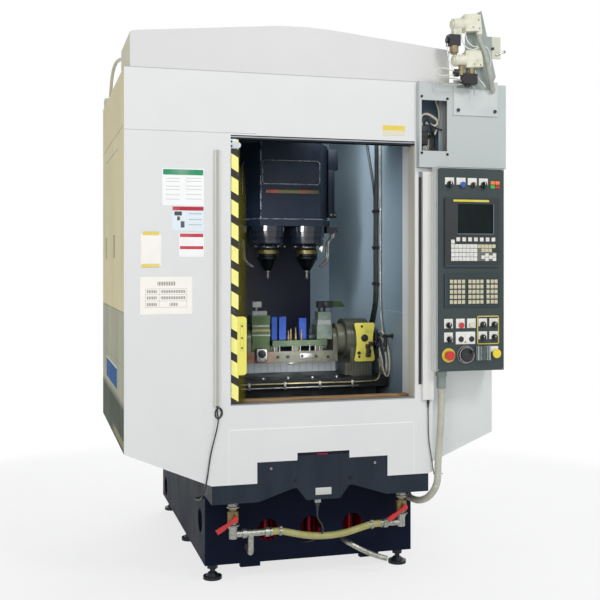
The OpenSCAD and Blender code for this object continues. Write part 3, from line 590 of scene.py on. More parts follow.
pale_gasket = weathered("pale_gasket", (60, 4), (0.4, 0.6), (150, 153, 156), (86, 89, 94), 0.6)
inset = 6
left, right = cover_low.x + inset, cover_high.x - inset
bottom, top = cover_low.z + inset, cover_high.z - inset
rim_y = cover_low.y - 0.2
bent_rod(
    "cover_gasket",
    [(left + 10, rim_y, bottom), (right - 10, rim_y, bottom), (right, rim_y, bottom + 10),
     (right, rim_y, top - 10), (right - 10, rim_y, top), (left + 10, rim_y, top), (left, rim_y, top - 10),
     (left, rim_y, bottom + 10), (left + 10, rim_y, bottom)],
    2.6, pale_gasket, "head", smooth=False, sides=1,
)
width, height = (right - left - 28, top - bottom - 24)
socket_screw(
    "cover_screws", (left + 14, cover_low.y, bottom + 12), forward, 5, blued_steel, "head",
    moves=[(width / 2, 0, 0), (width, 0, 0), (0, 0, height), (width / 2, 0, height), (width, 0, height)],
)

# Painted reflection: a thin strip under the cover carries a coloured reflection, red through olive to
# green.
mix = Finish("coloured_reflection")
x, y, z = mix.axes()
coloured_reflection = mix.surface(
    mix.ramp(x.slope(-0.13, 0.14), [(0, (48, 30, 32)), (0.14, (116, 44, 42)), (0.3, (76, 70, 42)),
     (0.55, (70, 76, 42)), (0.68, (104, 62, 42)), (1, (54, 68, 46))]),
    roughness=0.22,
)
block("reflection_strip", (-128, head_front - 4, 1748), (140, head_front, 1767), 1.5, coloured_reflection, "head")

block("head_side_cover", (228.5, -100, 1648), (262, 100, 1881.5), 2, charcoal_head, "head")
block("head_side_cover_top", (228.5, -100, 1881.5), (280, 100, 1985), 2, charcoal_head, "head")
block("head_lug", (229, -112, 1643), (269, -96, 1663), 3, blued_steel, "head")
socket_screw("head_lug_screws", (239, -112, 1653), forward, 5, zinc_screws, "head", moves=[(20, 0, 0)])
bent_rod(
    "head_stay", [(-236, -196, 1742), (-236, -196, 1880), (-226, -186, 1900)], 4, zinc_screws, "head",
    smooth=False,
)
sight_glass = weathered(
    "sight_glass", (40,), (0.4, 0.7), (196, 200, 196), (140, 148, 140), 0.15, coat_weight=0.5,
)
turned(
    "oil_sight_tube", (-256, -190, 1468), upward,
    [(0, 6), (2, 10), (12, 10), (13, 8), (72, 8), (73, 10), (84, 10), (86, 6)], sight_glass, "head",
    20,
)
block("sight_tube_arm", (-252, -195, 1546), (-231.5, -185, 1596), 2, blued_steel, "head")

# ---------------------------------------------------------------- spindles and coolant pipes
# Glossy black housings, dark steel noses with a bronze seal ring, and steel pipes bent down to the
# tools. A white nozzle sits beside the right nose.
black_housing = weathered(
    "black_housing", (14, 4, (1, 1, 0.3)), (0.4, 0.8), (14, 18, 28), (22, 28, 40), 0.14, 0.1,
    coat_weight=0.4,
)
coat(black_housing, "spindle_housings")

mix = Finish("chromed_nose")
x, y, z = mix.axes()
turned_marks = (z * 9000).sine()
gold_ring = z.within(1.4535, 1.4725)
dark_cone = z.within(1.372, 1.453)
tint = mix.blend(gold_ring, (120, 122, 118), (126, 116, 78))
chromed_nose = mix.surface(
    mix.blend(dark_cone, tint, (42, 46, 50)), metallic=0.95,
    roughness=0.16 + mix.cloud(30).slope(0.3, 0.8) * 0.14, normal=mix.relief(turned_marks, 6e-05, 0.3),
)
coat(chromed_nose, "spindle_left", "spindle_right")

bent_steel_pipe = weathered(
    "bent_steel_pipe", (50, 4), (0.35, 0.75), (186, 186, 180), (140, 140, 132), 0.2, 0.14, metallic=0.9,
)
mix = Finish("dull_steel_pipe")
x, y, z = mix.axes()
oil = mix.cloud(50, 4).slope(0.35, 0.75)
pipe_block = z.slope(1.5595, 1.56)
dull_steel_pipe = mix.surface(
    mix.blend(pipe_block, mix.blend(oil, (128, 128, 122), (92, 94, 90)), (34, 38, 46)),
    metallic=0.7 - pipe_block * 0.5, roughness=0.3 + oil * 0.2,
)
coat(dull_steel_pipe, "coolant_pipes")

white_nozzle = weathered("white_nozzle", (60,), (0.4, 0.8), (214, 212, 204), (190, 188, 178), 0.5)
turned(
    "air_nozzles", (156, -215, 1490), (-0.1, -0.5, -1), [(0, 6), (4, 9), (16, 9), (22, 5), (30, 3.5)],
    white_nozzle, "head", 20,
)
socket_screw(
    "housing_screws", (-172, -203, 1492.5), downward, 5, zinc_screws, "head",
    moves=[(37, -18, 0), (107, -18, 0), (144, 0, 0), (200, 0, 0), (237, -18, 0), (307, -18, 0),
     (344, 0, 0)],
)

# ---------------------------------------------------------------- fixture base
# A milled plate on the bed, blackened with oil. Two thin coolant pipes run along its front, one of
# them turned up at its right end, and a pale bellows sheet closes the gap behind the cradle.
base_low = box_mm("fixture_base")[0]
plate_top = 866
mix = Finish("oiled_steel")
x, y, z = mix.axes()
film = mix.cloud(12, 5).slope(0.35, 0.7)
milled = (x * 1500).sine()
oiled_steel = mix.surface(
    mix.blend(film, (20, 24, 28), (44, 48, 50)), metallic=0.45, roughness=0.3 + film * 0.25,
    normal=mix.relief(milled, 8e-05, 0.3),
)
coat(oiled_steel, "fixture_base")

old_brass_pipe = weathered(
    "old_brass_pipe", (24, 4), (0.35, 0.75), (120, 112, 84), (86, 84, 66), 0.28, 0.2, metallic=0.75,
)
pipe_y = base_low.y - 12
bent_rod(
    "base_coolant_pipe",
    [(-336, pipe_y, 848), (0, pipe_y, 848), (340, pipe_y, 848), (366, pipe_y, 852), (380, pipe_y, 872),
     (380, pipe_y, 930), (380, pipe_y + 12, 950)],
    11, old_brass_pipe, smooth=True,
)
bent_rod(
    "base_return_pipe",
    [(-336, pipe_y, 829), (-100, pipe_y, 829), (180, pipe_y, 829), (262, pipe_y, 829),
     (280, pipe_y + 10, 829)],
    9, dull_steel_pipe, smooth=False,
)
block(
    "pipe_saddles", (-262, pipe_y - 8, 822.5), (-250, base_low.y, 856), 2, zinc_screws,
    moves=[(170, 0, 0), (340, 0, 0), (500, 0, 0)],
)
socket_screw(
    "base_screws", (-300, base_low.y + 30, plate_top), upward, 8, zinc_screws,
    moves=[(120 * i, 0, 0) for i in range(1, 5)],
)

mix = Finish("pale_bellows")
x, y, z = mix.axes()
# Painted shade: darker lines where the folds of the bellows lie.
fold_shade = (x * 190).sine().slope(0.9, 0.99)
scuffs = mix.cloud(18, 4).slope(0.4, 0.8)
pale_bellows = mix.surface(
    mix.blend(fold_shade * 0.5, mix.blend(scuffs, (244, 250, 253), (226, 236, 244)), (170, 180, 190)),
    roughness=0.5,
)
block("bellows_sheet", (-232, -112, plate_top), (262, -104, 932), 2, pale_bellows)

# ---------------------------------------------------------------- rotary unit and its cover
# The drive that tilts the cradle: a turned dark body with a waisted yellow guard in front. A rubber
# plug, two screws and four black connectors are on the guard, and a steel stand is at the left.
tilt_axis = Vector((0, -0.26, 1.04))
mix = Finish("rotary_body")
x, y, z = mix.axes()
reach_y, reach_z = y - tilt_axis.y, z - tilt_axis.z
radius = (reach_y * reach_y + reach_z * reach_z).root()
lathe = (radius * 2600).sine()
grooves = (x * 420).sine().slope(0.86, 0.98) * radius.slope(0.09, 0.094)
grime = mix.cloud(16, 4).slope(0.35, 0.75)
rotary_body = mix.surface(
    mix.blend(grooves, mix.blend(grime, (62, 66, 56), (90, 92, 78)), (100, 102, 90)), metallic=0.4,
    roughness=0.32 + grime * 0.25, normal=mix.relief(lathe, 0.0001, 0.4),
)
coat(rotary_body, "rotary_unit")

guard_low, guard_high = box_mm("rotary_cover")
mix = Finish("yellow_guard")
x, y, z = mix.axes()
smudge = mix.cloud(22, 5).slope(0.5, 0.8)
top_light = z.slope(guard_low.z / 1000, guard_high.z / 1000)
yellow_guard = mix.surface(
    mix.blend(smudge * 0.6, mix.blend(top_light, (212, 202, 80), (240, 230, 104)), (150, 142, 74)),
    roughness=0.4 + smudge * 0.2, normal=mix.relief(mix.cloud(300, 2), 0.0004, 0.3),
)
coat(yellow_guard, "rotary_cover")

mix = Finish("matt_black_plastic")
skin = mix.cloud(260, 3)
matt_black_plastic = mix.surface(
    mix.blend(skin.slope(0.3, 0.8), (22, 24, 27), (36, 38, 42)), roughness=0.42 + skin * 0.1,
    normal=mix.relief(skin, 0.0003, 0.3),
)
turned(
    "guard_plug", (329, guard_low.y + 4, 1048), forward,
    [(0, 14.5), (4, 17.5), (7, 17.5), (9, 15), (8.5, 11), (11, 9), (12, 4)], matt_black_plastic,
    sides=28,
)
socket_screw(
    "guard_screws", (315, guard_low.y + 3, 1104), forward, 5.8, blued_steel, moves=[(-13, 0, -146)],
)
block(
    "guard_connectors", (332, guard_low.y - 16, 998), (354, guard_low.y, 1018), 3, matt_black_plastic,
    moves=[(4, 0, -22), (1, 0, -41), (16, 0, 12)],
)
socket_screw("guard_corner_plug", (300, guard_low.y, 977), forward, 8, matt_black_plastic)
bent_rod(
    "connector_lead",
    [(354, guard_low.y - 10, 1020), (372, guard_low.y - 20, 1030), (392, guard_low.y - 16, 1020),
     (402, guard_low.y + 10, 998), (404, guard_low.y + 60, 990)],
    6, black_lead,
)

turned(
    "probe_stand", (-284, -272, 1108), upward,
    [(0, 10), (6, 10), (7, 5), (118, 5), (120, 9), (142, 9), (144, 4), (166, 3)], zinc_screws,
    sides=20,
)
block("probe_stand_block", (-300, -284, 1226), (-262, -262, 1252), 3, zinc_screws)

# ---------------------------------------------------------------- clipped leads and hoses
# Black leads come down the right wall to the rotary unit. Beside them three hoses loop in front of
# the rotary unit to a black manifold, and a black elbow is screwed to the wall.
coat(black_lead, "clipped_cables")
mix = Finish("braided_hose")
x, y, z = mix.axes()
strands = ((z + y) * 1500).sine() * ((z - y) * 1500).sine()
kinked = mix.cloud(20).slope(0.35, 0.75)
braided_hose = mix.surface(
    mix.blend(kinked, (196, 196, 184), (138, 140, 130)), metallic=0.5, roughness=0.34 + kinked * 0.2,
    normal=mix.relief(strands, 0.0004, 0.6),
)
bent_rod(
    "braided_hose_long",
    [(432.5, -300, 2205), (432.5, -304, 1900), (432.5, -306, 1600), (432.5, -308, 1300), (430, -320, 1160),
     (426, -362, 1060), (424, -412, 960), (422, -424, 905), (420, -404, 878), (417, -372, 894),
     (414, -350, 960), (410, -336, 1020)],
    9, braided_hose,
)
bent_rod(
    "cream_hose_loop",
    [(414, -300, 1062), (422, -346, 1078), (426, -404, 1032), (425, -446, 960), (423, -452, 900),
     (420, -432, 868), (416, -404, 884), (412, -378, 950), (406, -350, 1010)],
    8, cream_lead,
)
bent_rod(
    "inner_hose_loop",
    [(412, -310, 1046), (418, -362, 1044), (420, -396, 990), (419, -420, 930), (416, -410, 888),
     (412, -384, 900), (408, -356, 976)],
    7, braided_hose,
)
turned(
    "hose_manifold", (404, -318, 1005), upward, [(0, 12), (4, 15), (60, 15), (64, 12), (72, 8)],
    matt_black_plastic, sides=24,
)
turned(
    "wall_elbow", (439, -455, 1062), (-1, 0, 0),
    [(0, 11), (6, 11), (7, 7.5), (34, 7.5), (36, 10), (46, 10), (49, 6)], matt_black_plastic,
    sides=20,
)
turned(
    "wall_elbow_leg", (402, -455, 1060), downward,
    [(0, 8), (22, 8), (24, 10), (44, 10), (48, 6), (72, 5)], matt_black_plastic,
    sides=20,
)

# ---------------------------------------------------------------- cradle and work clamps
# A welded cradle of oily steel with a green plate, which tilts on the rotary unit. On it stand a
# stack of green and ground steel blocks, blue locating blocks, brass pins and a black clamp.
mix = Finish("oily_cradle")
x, y, z = mix.axes()
green_plate = z.within(0.99, 1.0415) * x.within(-0.1205, 0.1505)
plate_side = green_plate * z.slope(1.0125, 1.0135)
rusty = (0 - x).slope(0.08, 0.15) * (1 - z).slope(0, 0.02)
patch = mix.cloud(15, 5).slope(0.38, 0.68)
steel = mix.blend(patch, (70, 72, 60), (100, 100, 86))
rust = mix.blend(patch, (104, 62, 46), (140, 110, 92))
chip = mix.cloud(70, 4).slope(0.62, 0.68)
green = mix.blend(chip, mix.blend(patch, (42, 62, 34), (54, 74, 42)), (120, 128, 112))
oily_cradle_steel = mix.surface(
    mix.blend(plate_side, mix.blend(rusty * 0.8, steel, rust), green), metallic=0.3,
    roughness=0.3 + patch * 0.25, normal=mix.relief(patch, 0.0006, 0.35),
)
coat(oily_cradle_steel, "cradle")

mix = Finish("clamp_blocks")
x, y, z = mix.axes()
left_stack = 1 - x.slope(-0.1195, -0.1185)
right_side = x.slope(0.0995, 0.1005)
film = mix.cloud(26, 4).slope(0.35, 0.75)
ground = mix.blend(film, (142, 148, 144), (100, 108, 104))
moss = mix.blend(film, (54, 74, 42), (74, 90, 58))
olive = mix.blend(film, (120, 112, 72), (140, 128, 84))
bands = mix.ramp(
    z.slope(1.022, 1.158),
    [(0, (0, 0, 0)), (0.3, (0, 0, 0)), (0.31, (255, 255, 255)), (0.34, (255, 255, 255)), (0.35, (0, 0, 0)),
     (0.62, (0, 0, 0)), (0.63, (255, 255, 255)), (0.67, (255, 255, 255)), (0.68, (0, 0, 0)),
     (1, (0, 0, 0))],
)
left_colour = mix.blend(bands, mix.blend(z.within(1.084, 1.094), moss, olive), ground)
left_colour = mix.blend(z.slope(1.1575, 1.1585), left_colour, ground)
blue = mix.blend(film * 0.4, (8, 50, 124), (20, 62, 134))
brass = mix.blend(film, (150, 132, 98), (112, 92, 60))
middle = mix.blend(y.slope(-0.2935, -0.2925), brass, blue)
sage = mix.blend(film, (82, 96, 88), (112, 124, 116))
right_colour = mix.blend(z.within(1.1115, 1.1335), sage, ground)
right_colour = mix.blend(z.slope(1.1725, 1.1735), right_colour, (30, 32, 36))
right_colour = mix.blend(x.slope(0.1985, 0.199) * z.slope(1.19, 1.191), right_colour, (40, 66, 38))
worked = mix.blend(left_stack, middle, left_colour)
clamp_blocks = mix.surface(
    mix.blend(right_side, worked, right_colour), metallic=0.25, roughness=0.32 + film * 0.2,
    specular_ior_level=0.25, normal=mix.relief(mix.cloud(180, 2), 0.0003, 0.3),
)
coat(clamp_blocks, "work_clamps")

turned(
    "plate_spacers", (-106, -306, 988.5), upward,
    [(0, 6), (6, 6), (7, 4.5), (19, 4.5), (20, 6), (25.5, 6)], zinc_screws, "cradle", 16,
    moves=[(step, 0, 0) for step in (26, 90, 128, 176, 204, 226)],
)
block("cradle_cylinder", (-198, -334, 940), (-144, -315.5, 1004), 6, zinc_screws, "cradle")
turned(
    "cradle_cylinder_cap", (-172, -334, 980), forward,
    [(0, 19), (4, 19), (6, 16), (6, 9), (12, 8), (13, 4)], blued_steel, "cradle", 24,
)
socket_screw(
    "beam_bolts", (-90, -315, 962), forward, 7, blued_steel, "cradle",
    moves=[(50, 0, 0), (120, 0, 4), (190, 0, 0), (250, 0, -4)],
)
block("beam_smear_plate", (20, -317, 950), (88, -314.5, 976), 1, zinc_screws, "cradle")
block("beam_drain_lug", (-40, -320, 926), (-10, -300, 934.5), 3, zinc_screws, "cradle")
block("clamp_bridge", (68, -300, 1041.5), (104, -276, 1066), 4, blued_steel, "cradle")
bent_rod(
    "clamp_air_line", [(98, -300, 1098), (82, -312, 1104), (70, -312, 1090), (70, -300, 1062)], 6,
    black_lead, "cradle",
)
turned(
    "clamp_knob", (160, -275, 1208), forward, [(0, 6), (6, 6), (8, 13), (18, 13), (21, 9)],
    matt_black_plastic, "cradle", 20,
)

# ---------------------------------------------------------------- work space lining
# Slate blue sheet panels round the work space, their joints turned in. Three soft lamps stand in
# it: one at the left, one under the roof and one over the sill. A wooden lath lies on the sill.
mix = Finish("slate_blue_lining")
x, y, z = mix.axes()
# Painted highlight: lighter lines along the turned-in joints.
joints = y.within(0.404, 0.409) + z.within(1.178, 1.182) | z.within(1.846, 1.85) * y.slope(0.1, 0.11)
mist = mix.cloud(3, 5).slope(0.35, 0.75)
spray = mix.cloud(120, 4).slope(0.62, 0.7)
# Darker towards the bottom.
lower = 1 - z.slope(0.66, 1.15)
# Painted light: the lining grows lighter towards the back, against the shade deep in the work space.
rear_painted_light = y.slope(-0.5, 0.45)
slate_paint = mix.blend(mist, (134, 156, 170), (148, 170, 184))
slate_paint = mix.blend(rear_painted_light, slate_paint, (184, 208, 222))
slate_paint = mix.blend(lower * 0.45, slate_paint, (96, 110, 122))
slate_paint = mix.blend(spray * 0.3, slate_paint, (176, 188, 194))
slate_blue_lining = mix.surface(
    mix.blend(joints * 0.7, slate_paint, (188, 196, 200)), roughness=0.36 + mist * 0.14,
    normal=mix.relief(mix.cloud(350, 2), 0.0004, 0.3),
)
coat(slate_blue_lining, "work_liner")
soft_lamp("work_lamp", (-0.34, -0.64, 1.66), (0.44, 0, 1.45), 0.16, 1.3, 95)
soft_lamp("roof_lamp", (0.26, -0.24, 2.16), (0.38, 0.42, 1.4), 0.34, 1.7, 130)
soft_lamp("sill_lamp", (0.06, -0.68, 1.02), (0.02, 0, 0.92), 0.2, 0.42, 90)

mix = Finish("sill_timber")
grain = mix.cloud(90, 5, (0.06, 1, 1))
knots = mix.cloud(9, 3).slope(0.62, 0.72)
wood = mix.blend(grain.slope(0.32, 0.7), (176, 142, 98), (122, 92, 58))
sill_timber = mix.surface(
    mix.blend(knots * 0.5, wood, (86, 62, 38)), roughness=0.62 + grain * 0.15,
    normal=mix.relief(grain, 0.0008, 0.5),
)
block("sill_lath", (-392, -702, 803.5), (421, -662, 819.5), 2, sill_timber)

# ---------------------------------------------------------------- front sheets and roof hood
# Folded sheet steel in a satin white powder coat, with joint lines where the sheets meet. The hood
# over the front slopes to both sides, and a cable gland and a socket are at its left.
opening_top = 1.95


def powder_coat(name, light, shade, low_z=0.0, sag=0.0):
    """Satin powder coat with an orange-peel skin, patchy dust, and darker towards its foot."""
    finish = Finish(name)
    x, y, z = finish.axes()
    skin = finish.cloud(480, 2)
    dust = finish.cloud(4, 5).slope(0.35, 0.8)
    # Darker towards the foot, by sag.
    foot = 1 - z.slope(low_z, low_z + 0.25)
    paint = finish.blend(dust * 0.5 + foot * sag, light, shade)
    relief = finish.relief(skin, 0.0005, 0.25)
    return finish.surface(paint, roughness=0.36 + dust * 0.1, normal=relief)


white_front = powder_coat("white_front", (229, 229, 228), (222, 223, 223), 0.45, 0.1)
coat(white_front, "front_lower_panel")
block("front_seam_left", (-854.8, -770, 700), (-417, -767.5, 703), 0.1, white_front, steps=1)
block("front_seam_right", (418, -770, 700), (509.8, -767.5, 703), 0.1, white_front, steps=1)
# Painted highlight: the beads round the window's foot are painted a brighter white than the front.
edge_highlight_white = powder_coat("edge_highlight_white", (250, 249, 242), (240, 240, 236), 0.3)
block("window_foot_bead", (-417, -770.6, 699.5), (418, -768, 704), 0.5, edge_highlight_white, steps=1)
block(
    "window_side_beads", (-419, -770.2, 472), (-417, -769, 700), 0.2, edge_highlight_white, steps=1,
    moves=[(837, 0, 0)],
)

mix = Finish("white_front_jamb")
x, y, z = mix.axes()
side_wall = x.slope(0.4236, 0.4238) * y.slope(-0.7662, -0.766) * (1 - x.slope(0.4272, 0.4276))
# Painted light and shade: the jamb is painted bright white deep inside and a shaded beige nearer the front.
lit_inner_part = y.slope(-0.69, -0.687)
jamb_light_and_shade = mix.blend(lit_inner_part, (236, 230, 212), (248, 250, 252))
front_dust = mix.cloud(4, 5).slope(0.35, 0.8)
white_paint = mix.blend(front_dust * 0.5, (229, 229, 228), (222, 223, 223))
cut = z.within(1.9565, 1.959) * (1 - x.slope(-0.3, -0.298))
white_paint = mix.blend(cut * 0.55, white_paint, (120, 124, 128))
# Painted shade: the faces under the top of the opening are painted dark grey.
soffit_shade = y.slope(-0.7662, -0.766) * z.slope(opening_top - 0.004, opening_top - 0.003)
white_paint = mix.blend(soffit_shade, white_paint, (120, 122, 122))
white_front_jamb = mix.surface(
    mix.blend(side_wall, white_paint, jamb_light_and_shade), roughness=0.36 + front_dust * 0.1,
    normal=mix.relief(mix.cloud(480, 2), 0.0005, 0.25),
)
coat(white_front_jamb, "front_panel")

mix = Finish("pale_hood")
x, y, z = mix.axes()
hood_dust = mix.cloud(4, 5).slope(0.35, 0.8)
roof_joints = z.within(2.2135, 2.2175) * (1 - y.slope(-0.768, -0.766)) + y.within(-0.376, -0.373)
# Painted light: the hood's left end is painted beige like the left side, in part for the light falling on
# it.
hood_end = (1 - x.slope(-0.8306, -0.8302)) * y.slope(-0.7694, -0.769)
hood_paint = mix.blend(hood_dust * 0.5, (220, 220, 218), (213, 213, 212))
hood_paint = mix.blend(hood_end, hood_paint, (204, 198, 164))
pale_hood = mix.surface(
    mix.blend(roof_joints * 0.5, hood_paint, (120, 124, 128)), roughness=0.4 + hood_dust * 0.1,
    normal=mix.relief(mix.cloud(480, 2), 0.0005, 0.25),
)
coat(pale_hood, "roof_hood")
turned(
    "roof_gland", (-800, -364.5, 2330), (0, 1, 0),
    [(0, 12.5), (3, 13.5), (12, 13.5), (14, 11), (22, 10.5), (26, 8.8)], matt_black_plastic, sides=6,
)
block("roof_socket", (-851.5, 338, 2216.5), (-811, 402, 2268), 4, cream_lead)
turned(
    "roof_plug", (-830, 338, 2240), forward,
    [(0, 17), (4, 19), (22, 19), (26, 14), (34, 12.5), (38, 8.8)], cream_lead, sides=24,
)

# ---------------------------------------------------------------- side panels and side doors
# The left side is painted a warm beige, in part a tint of the light on that side, with patchy dirt.
# Below its middle joint it is painted darker as shade, and lower down a dark olive painted reflection
# is crossed by a light painted reflection band. It has two hinged doors with slot grips, their
# recesses painted in shade. The right side, the box beside the window and the cabinet behind are
# grey-white.

mix = Finish("beige_side")
x, y, z = mix.axes()
dirt = mix.cloud(5, 5, (1, 1, 0.5)).slope(0.35, 0.8)
upper = mix.blend(dirt * 0.6, (238, 226, 180), (224, 219, 184))
# Painted shade: a darker beige below the middle joint.
shaded = mix.blend(dirt, (190, 188, 162), (172, 174, 152))
# Painted reflection: a dark olive for the lower part of the side.
lower = mix.blend(dirt, (66, 76, 58), (52, 62, 50))
beige_paint = mix.blend(1 - z.slope(1.2, 1.206), upper, shaded)
beige_paint = mix.blend(1 - z.slope(0.795, 0.835), beige_paint, lower)
# Painted reflection: a light band across the dark olive, towards the front.
reflected_light_band = z.within(0.636, 0.67) * (1 - y.slope(-0.32, -0.18))
beige_paint = mix.blend(reflected_light_band * 0.6, beige_paint, (176, 168, 128))
cut = (z.within(1.977, 1.98) + z.within(1.201, 1.2035) + z.within(0.975, 0.977)) & 1
beige_paint = mix.blend(cut * 0.6, beige_paint, (96, 98, 86))
# Painted shade: dark brown in the slot grips.
grip_shade = z.within(1.432, 1.538) * (y.within(-0.312, -0.256) + y.within(0.15, 0.2))
beige_paint = mix.blend(grip_shade * 0.7, beige_paint, (92, 78, 52))
band = y.within(-0.43, 0.17)
beige_paint = mix.blend(band * z.within(0.848, 0.938), beige_paint, (0, 86, 150))
stay = y.within(-0.27, -0.255) * z.within(1.928, 2.034)
bar = y.within(-0.464, 0.185)
pale_marks = band * z.within(0.938, 0.946) + stay + bar * z.within(1.914, 1.92)
beige_paint = mix.blend(pale_marks * 0.9, beige_paint, (236, 236, 228))
beige_paint = mix.blend(bar * z.within(1.909, 1.914) * 0.7, beige_paint, (110, 104, 84))
beige_side = mix.surface(
    beige_paint, roughness=0.55 + dirt * 0.14, specular_ior_level=0.1,
    normal=mix.relief(mix.cloud(480, 2), 0.0005, 0.25),
)
coat(beige_side, "left_side_panel", "side_door_front", "side_door_rear")

grey_white = powder_coat("grey_white_side", (224, 228, 225), (212, 217, 214), 0.5, 0.2)
coat(grey_white, "right_side_panel")
box_grey = powder_coat("box_grey", (193, 200, 198), (180, 189, 188), 0.5, 0.2)
coat(box_grey, "service_box")
cabinet_white = powder_coat("cabinet_white", (214, 214, 210), (200, 201, 198), 0.6, 0.35)
coat(cabinet_white, "rear_cabinet")
coat(cabinet_white, "cabinet_door")

edge_x = box_mm("left_side_panel")[0].x
turned(
    "side_door_hinges", (edge_x + 4.5, -744.5, 1295), upward,
    [(0, 3), (1, 4.2), (33, 4.2), (34, 3.6), (36, 3.6), (37, 4.2), (69, 4.2), (70, 3)], matt_black_plastic,
    sides=16, moves=[(0, 0, 500)],
)

# ---------------------------------------------------------------- plates on the front
# Screen printed vinyl and paper sheets stuck on the front, left bare of print: only their coloured
# fields are kept. Each is a thin sheet on the powder coat.
front_y = -770


def vinyl(name, ground, bands):
    """A printed sheet. A band is the two heights it lies between, its colour, then any ends it has."""
    finish = Finish(name)
    x, y, z = finish.axes()
    paint = ground
    for low_z, high_z, colour, *ends in bands:
        field = z.within(low_z, high_z)
        if ends:
            field = field * x.within(ends[0], ends[1])
        paint = finish.blend(field, paint, colour)
    handled = finish.cloud(14, 4).slope(0.45, 0.8)
    return finish.surface(
        finish.blend(handled * 0.25, paint, (222, 222, 216)), roughness=0.3 + handled * 0.2,
    )


def sheet(name, low_x, high_x, low_z, high_z, finish):
    """A thin sheet on the front, its corners cut round."""
    return block(name, (low_x, front_y - 1.4, low_z), (high_x, front_y, high_z), 0.5, finish, steps=1)


pale_print = (206, 209, 207)
green_fields = [(1.775, 1.798, (22, 146, 98), -0.695, -0.527)]
for low_z in (1.758, 1.746, 1.726, 1.712, 1.69, 1.672):
    green_fields.append((low_z, low_z + 0.003, pale_print, -0.684, -0.626))
    green_fields.append((low_z + 0.002, low_z + 0.005, pale_print, -0.6, -0.534))
green_header = vinyl("green_header_sheet", (252, 253, 252), green_fields)
sheet("green_sheet", -699, -524, 1647, 1802, green_header)
grey_print = (176, 188, 196)
red_header = vinyl(
    "red_header_sheet", (230, 241, 248),
    [(1.627, 1.6435, (186, 28, 52), -0.656, -0.526), (1.606, 1.623, (26, 34, 42), -0.648, -0.617),
     (1.586, 1.602, (40, 50, 58), -0.637, -0.625), (1.556, 1.582, (40, 50, 58), -0.622, -0.606),
     (1.612, 1.616, grey_print, -0.588, -0.534), (1.588, 1.592, grey_print, -0.588, -0.534),
     (1.566, 1.57, grey_print, -0.588, -0.534)],
)
sheet("red_sheet", -658, -524, 1542, 1645, red_header)
red_bands = vinyl(
    "red_band_sheet", (252, 250, 250),
    [(1.5165, 1.531, (196, 40, 58), -0.625, -0.527), (1.466, 1.479, (200, 48, 66), -0.625, -0.527)],
)
sheet("banded_sheet", -629, -524, 1434, 1533, red_bands)
note_paper = vinyl("note_paper", (253, 249, 241), [])
sheet("cream_note", -787, -703, 1396, 1528, note_paper)
tape_yellow = vinyl("tape_yellow", (234, 212, 104), [])
for low_x, low_z, high_x, high_z in ((-784, 1390, -710, 1405), (-778, 1523, -712, 1538)):
    block(
        "note_tape", (low_x, front_y - 2.4, low_z), (high_x, front_y - 0.8, high_z), 0.3, tape_yellow,
        steps=1,
    )

mix = Finish("ruled_sheet")
x, y, z = mix.axes()
ruled_area = x.within(-0.7685, -0.5955) * z.within(1.224, 1.302)
rows = z.within(1.3005, 1.302) + z.within(1.277, 1.2785) + z.within(1.2505, 1.252)
columns = x.within(-0.7685, -0.767) + x.within(-0.712, -0.7105)
edges = z.within(1.224, 1.2255) + x.within(-0.597, -0.5955)
lines = (rows + columns + edges & 1) * ruled_area
strokes = (x * 900).sine() > -0.3
title = x.within(-0.718, -0.643) * z.within(1.315, 1.331)
upper_rows = z.within(1.284, 1.296) + z.within(1.258, 1.27)
last_row = z.within(1.23, 1.243)
short_words = x.within(-0.763, -0.719) * (upper_rows + last_row)
long_words = x.within(-0.704, -0.602) * upper_rows
fields = (title + short_words + long_words + x.within(-0.668, -0.634) * last_row) * strokes
smudge = mix.cloud(20, 4).slope(0.4, 0.8)
cream = mix.blend(smudge * 0.4, (253, 250, 241), (240, 236, 224))
marked = mix.blend(fields * 0.85, cream, (92, 88, 84))
ruled_sheet = mix.surface(mix.blend(lines * 0.7, marked, (150, 148, 144)), roughness=0.35 + smudge * 0.2)
sheet("ruled_plate", -790, -574, 1195, 1351, ruled_sheet)
two_tone = vinyl("two_tone_sheet", (226, 222, 196), [(1.995, 2.0165, (236, 206, 52))])
sheet("two_tone_plate", 273, 377, 1972, 2017, two_tone)

# ---------------------------------------------------------------- connections behind the cut-out
# Behind the window in the box at the top right are the air and power leads of the head: a moulded
# plug block, a steel bracket, a folded flange and loose loops of lead.
blue_grey = powder_coat("blue_grey_plate", (120, 140, 158), (104, 124, 142), 1.8, 0.1)
block("box_inner_plate", (437.5, -666.5, 1842), (640, -664.5, 2206), 0.8, blue_grey)
grey_flange = powder_coat("grey_flange", (150, 150, 142), (132, 134, 128), 1.8, 0.2)
block("box_flange", (572, -742, 1842), (601, -739, 2206), 1, grey_flange)
pale_strip = powder_coat("pale_strip", (200, 208, 214), (176, 186, 194), 1.8, 0.1)
block("box_strip", (562, -716, 1842), (586, -713, 2206), 1, pale_strip)
block("box_bracket", (495, -690, 1908), (556, -687, 2004), 1, bent_steel_pipe)
block("box_bracket_foot", (495, -688, 1908), (556, -666.5, 1911), 1, bent_steel_pipe)
turned(
    "box_bracket_bush", (523, -690, 1986), forward, [(0, 7), (1, 8), (6, 8), (7, 6)], matt_black_plastic,
    sides=20,
)
block("box_plug", (460, -752, 1938), (496, -712, 2026), 5, matt_black_plastic, steps=3)
for rise in (0, 22, 44):
    block(
        "box_plug_rib", (463, -755, 1952 + rise), (493, -751, 1960 + rise), 1, matt_black_plastic, steps=1,
    )
bent_rod(
    "box_pale_lead",
    [(529, -730, 2200), (542, -726, 2150), (560, -724, 2092), (556, -724, 2040), (538, -728, 1990)], 10,
    cream_lead,
)
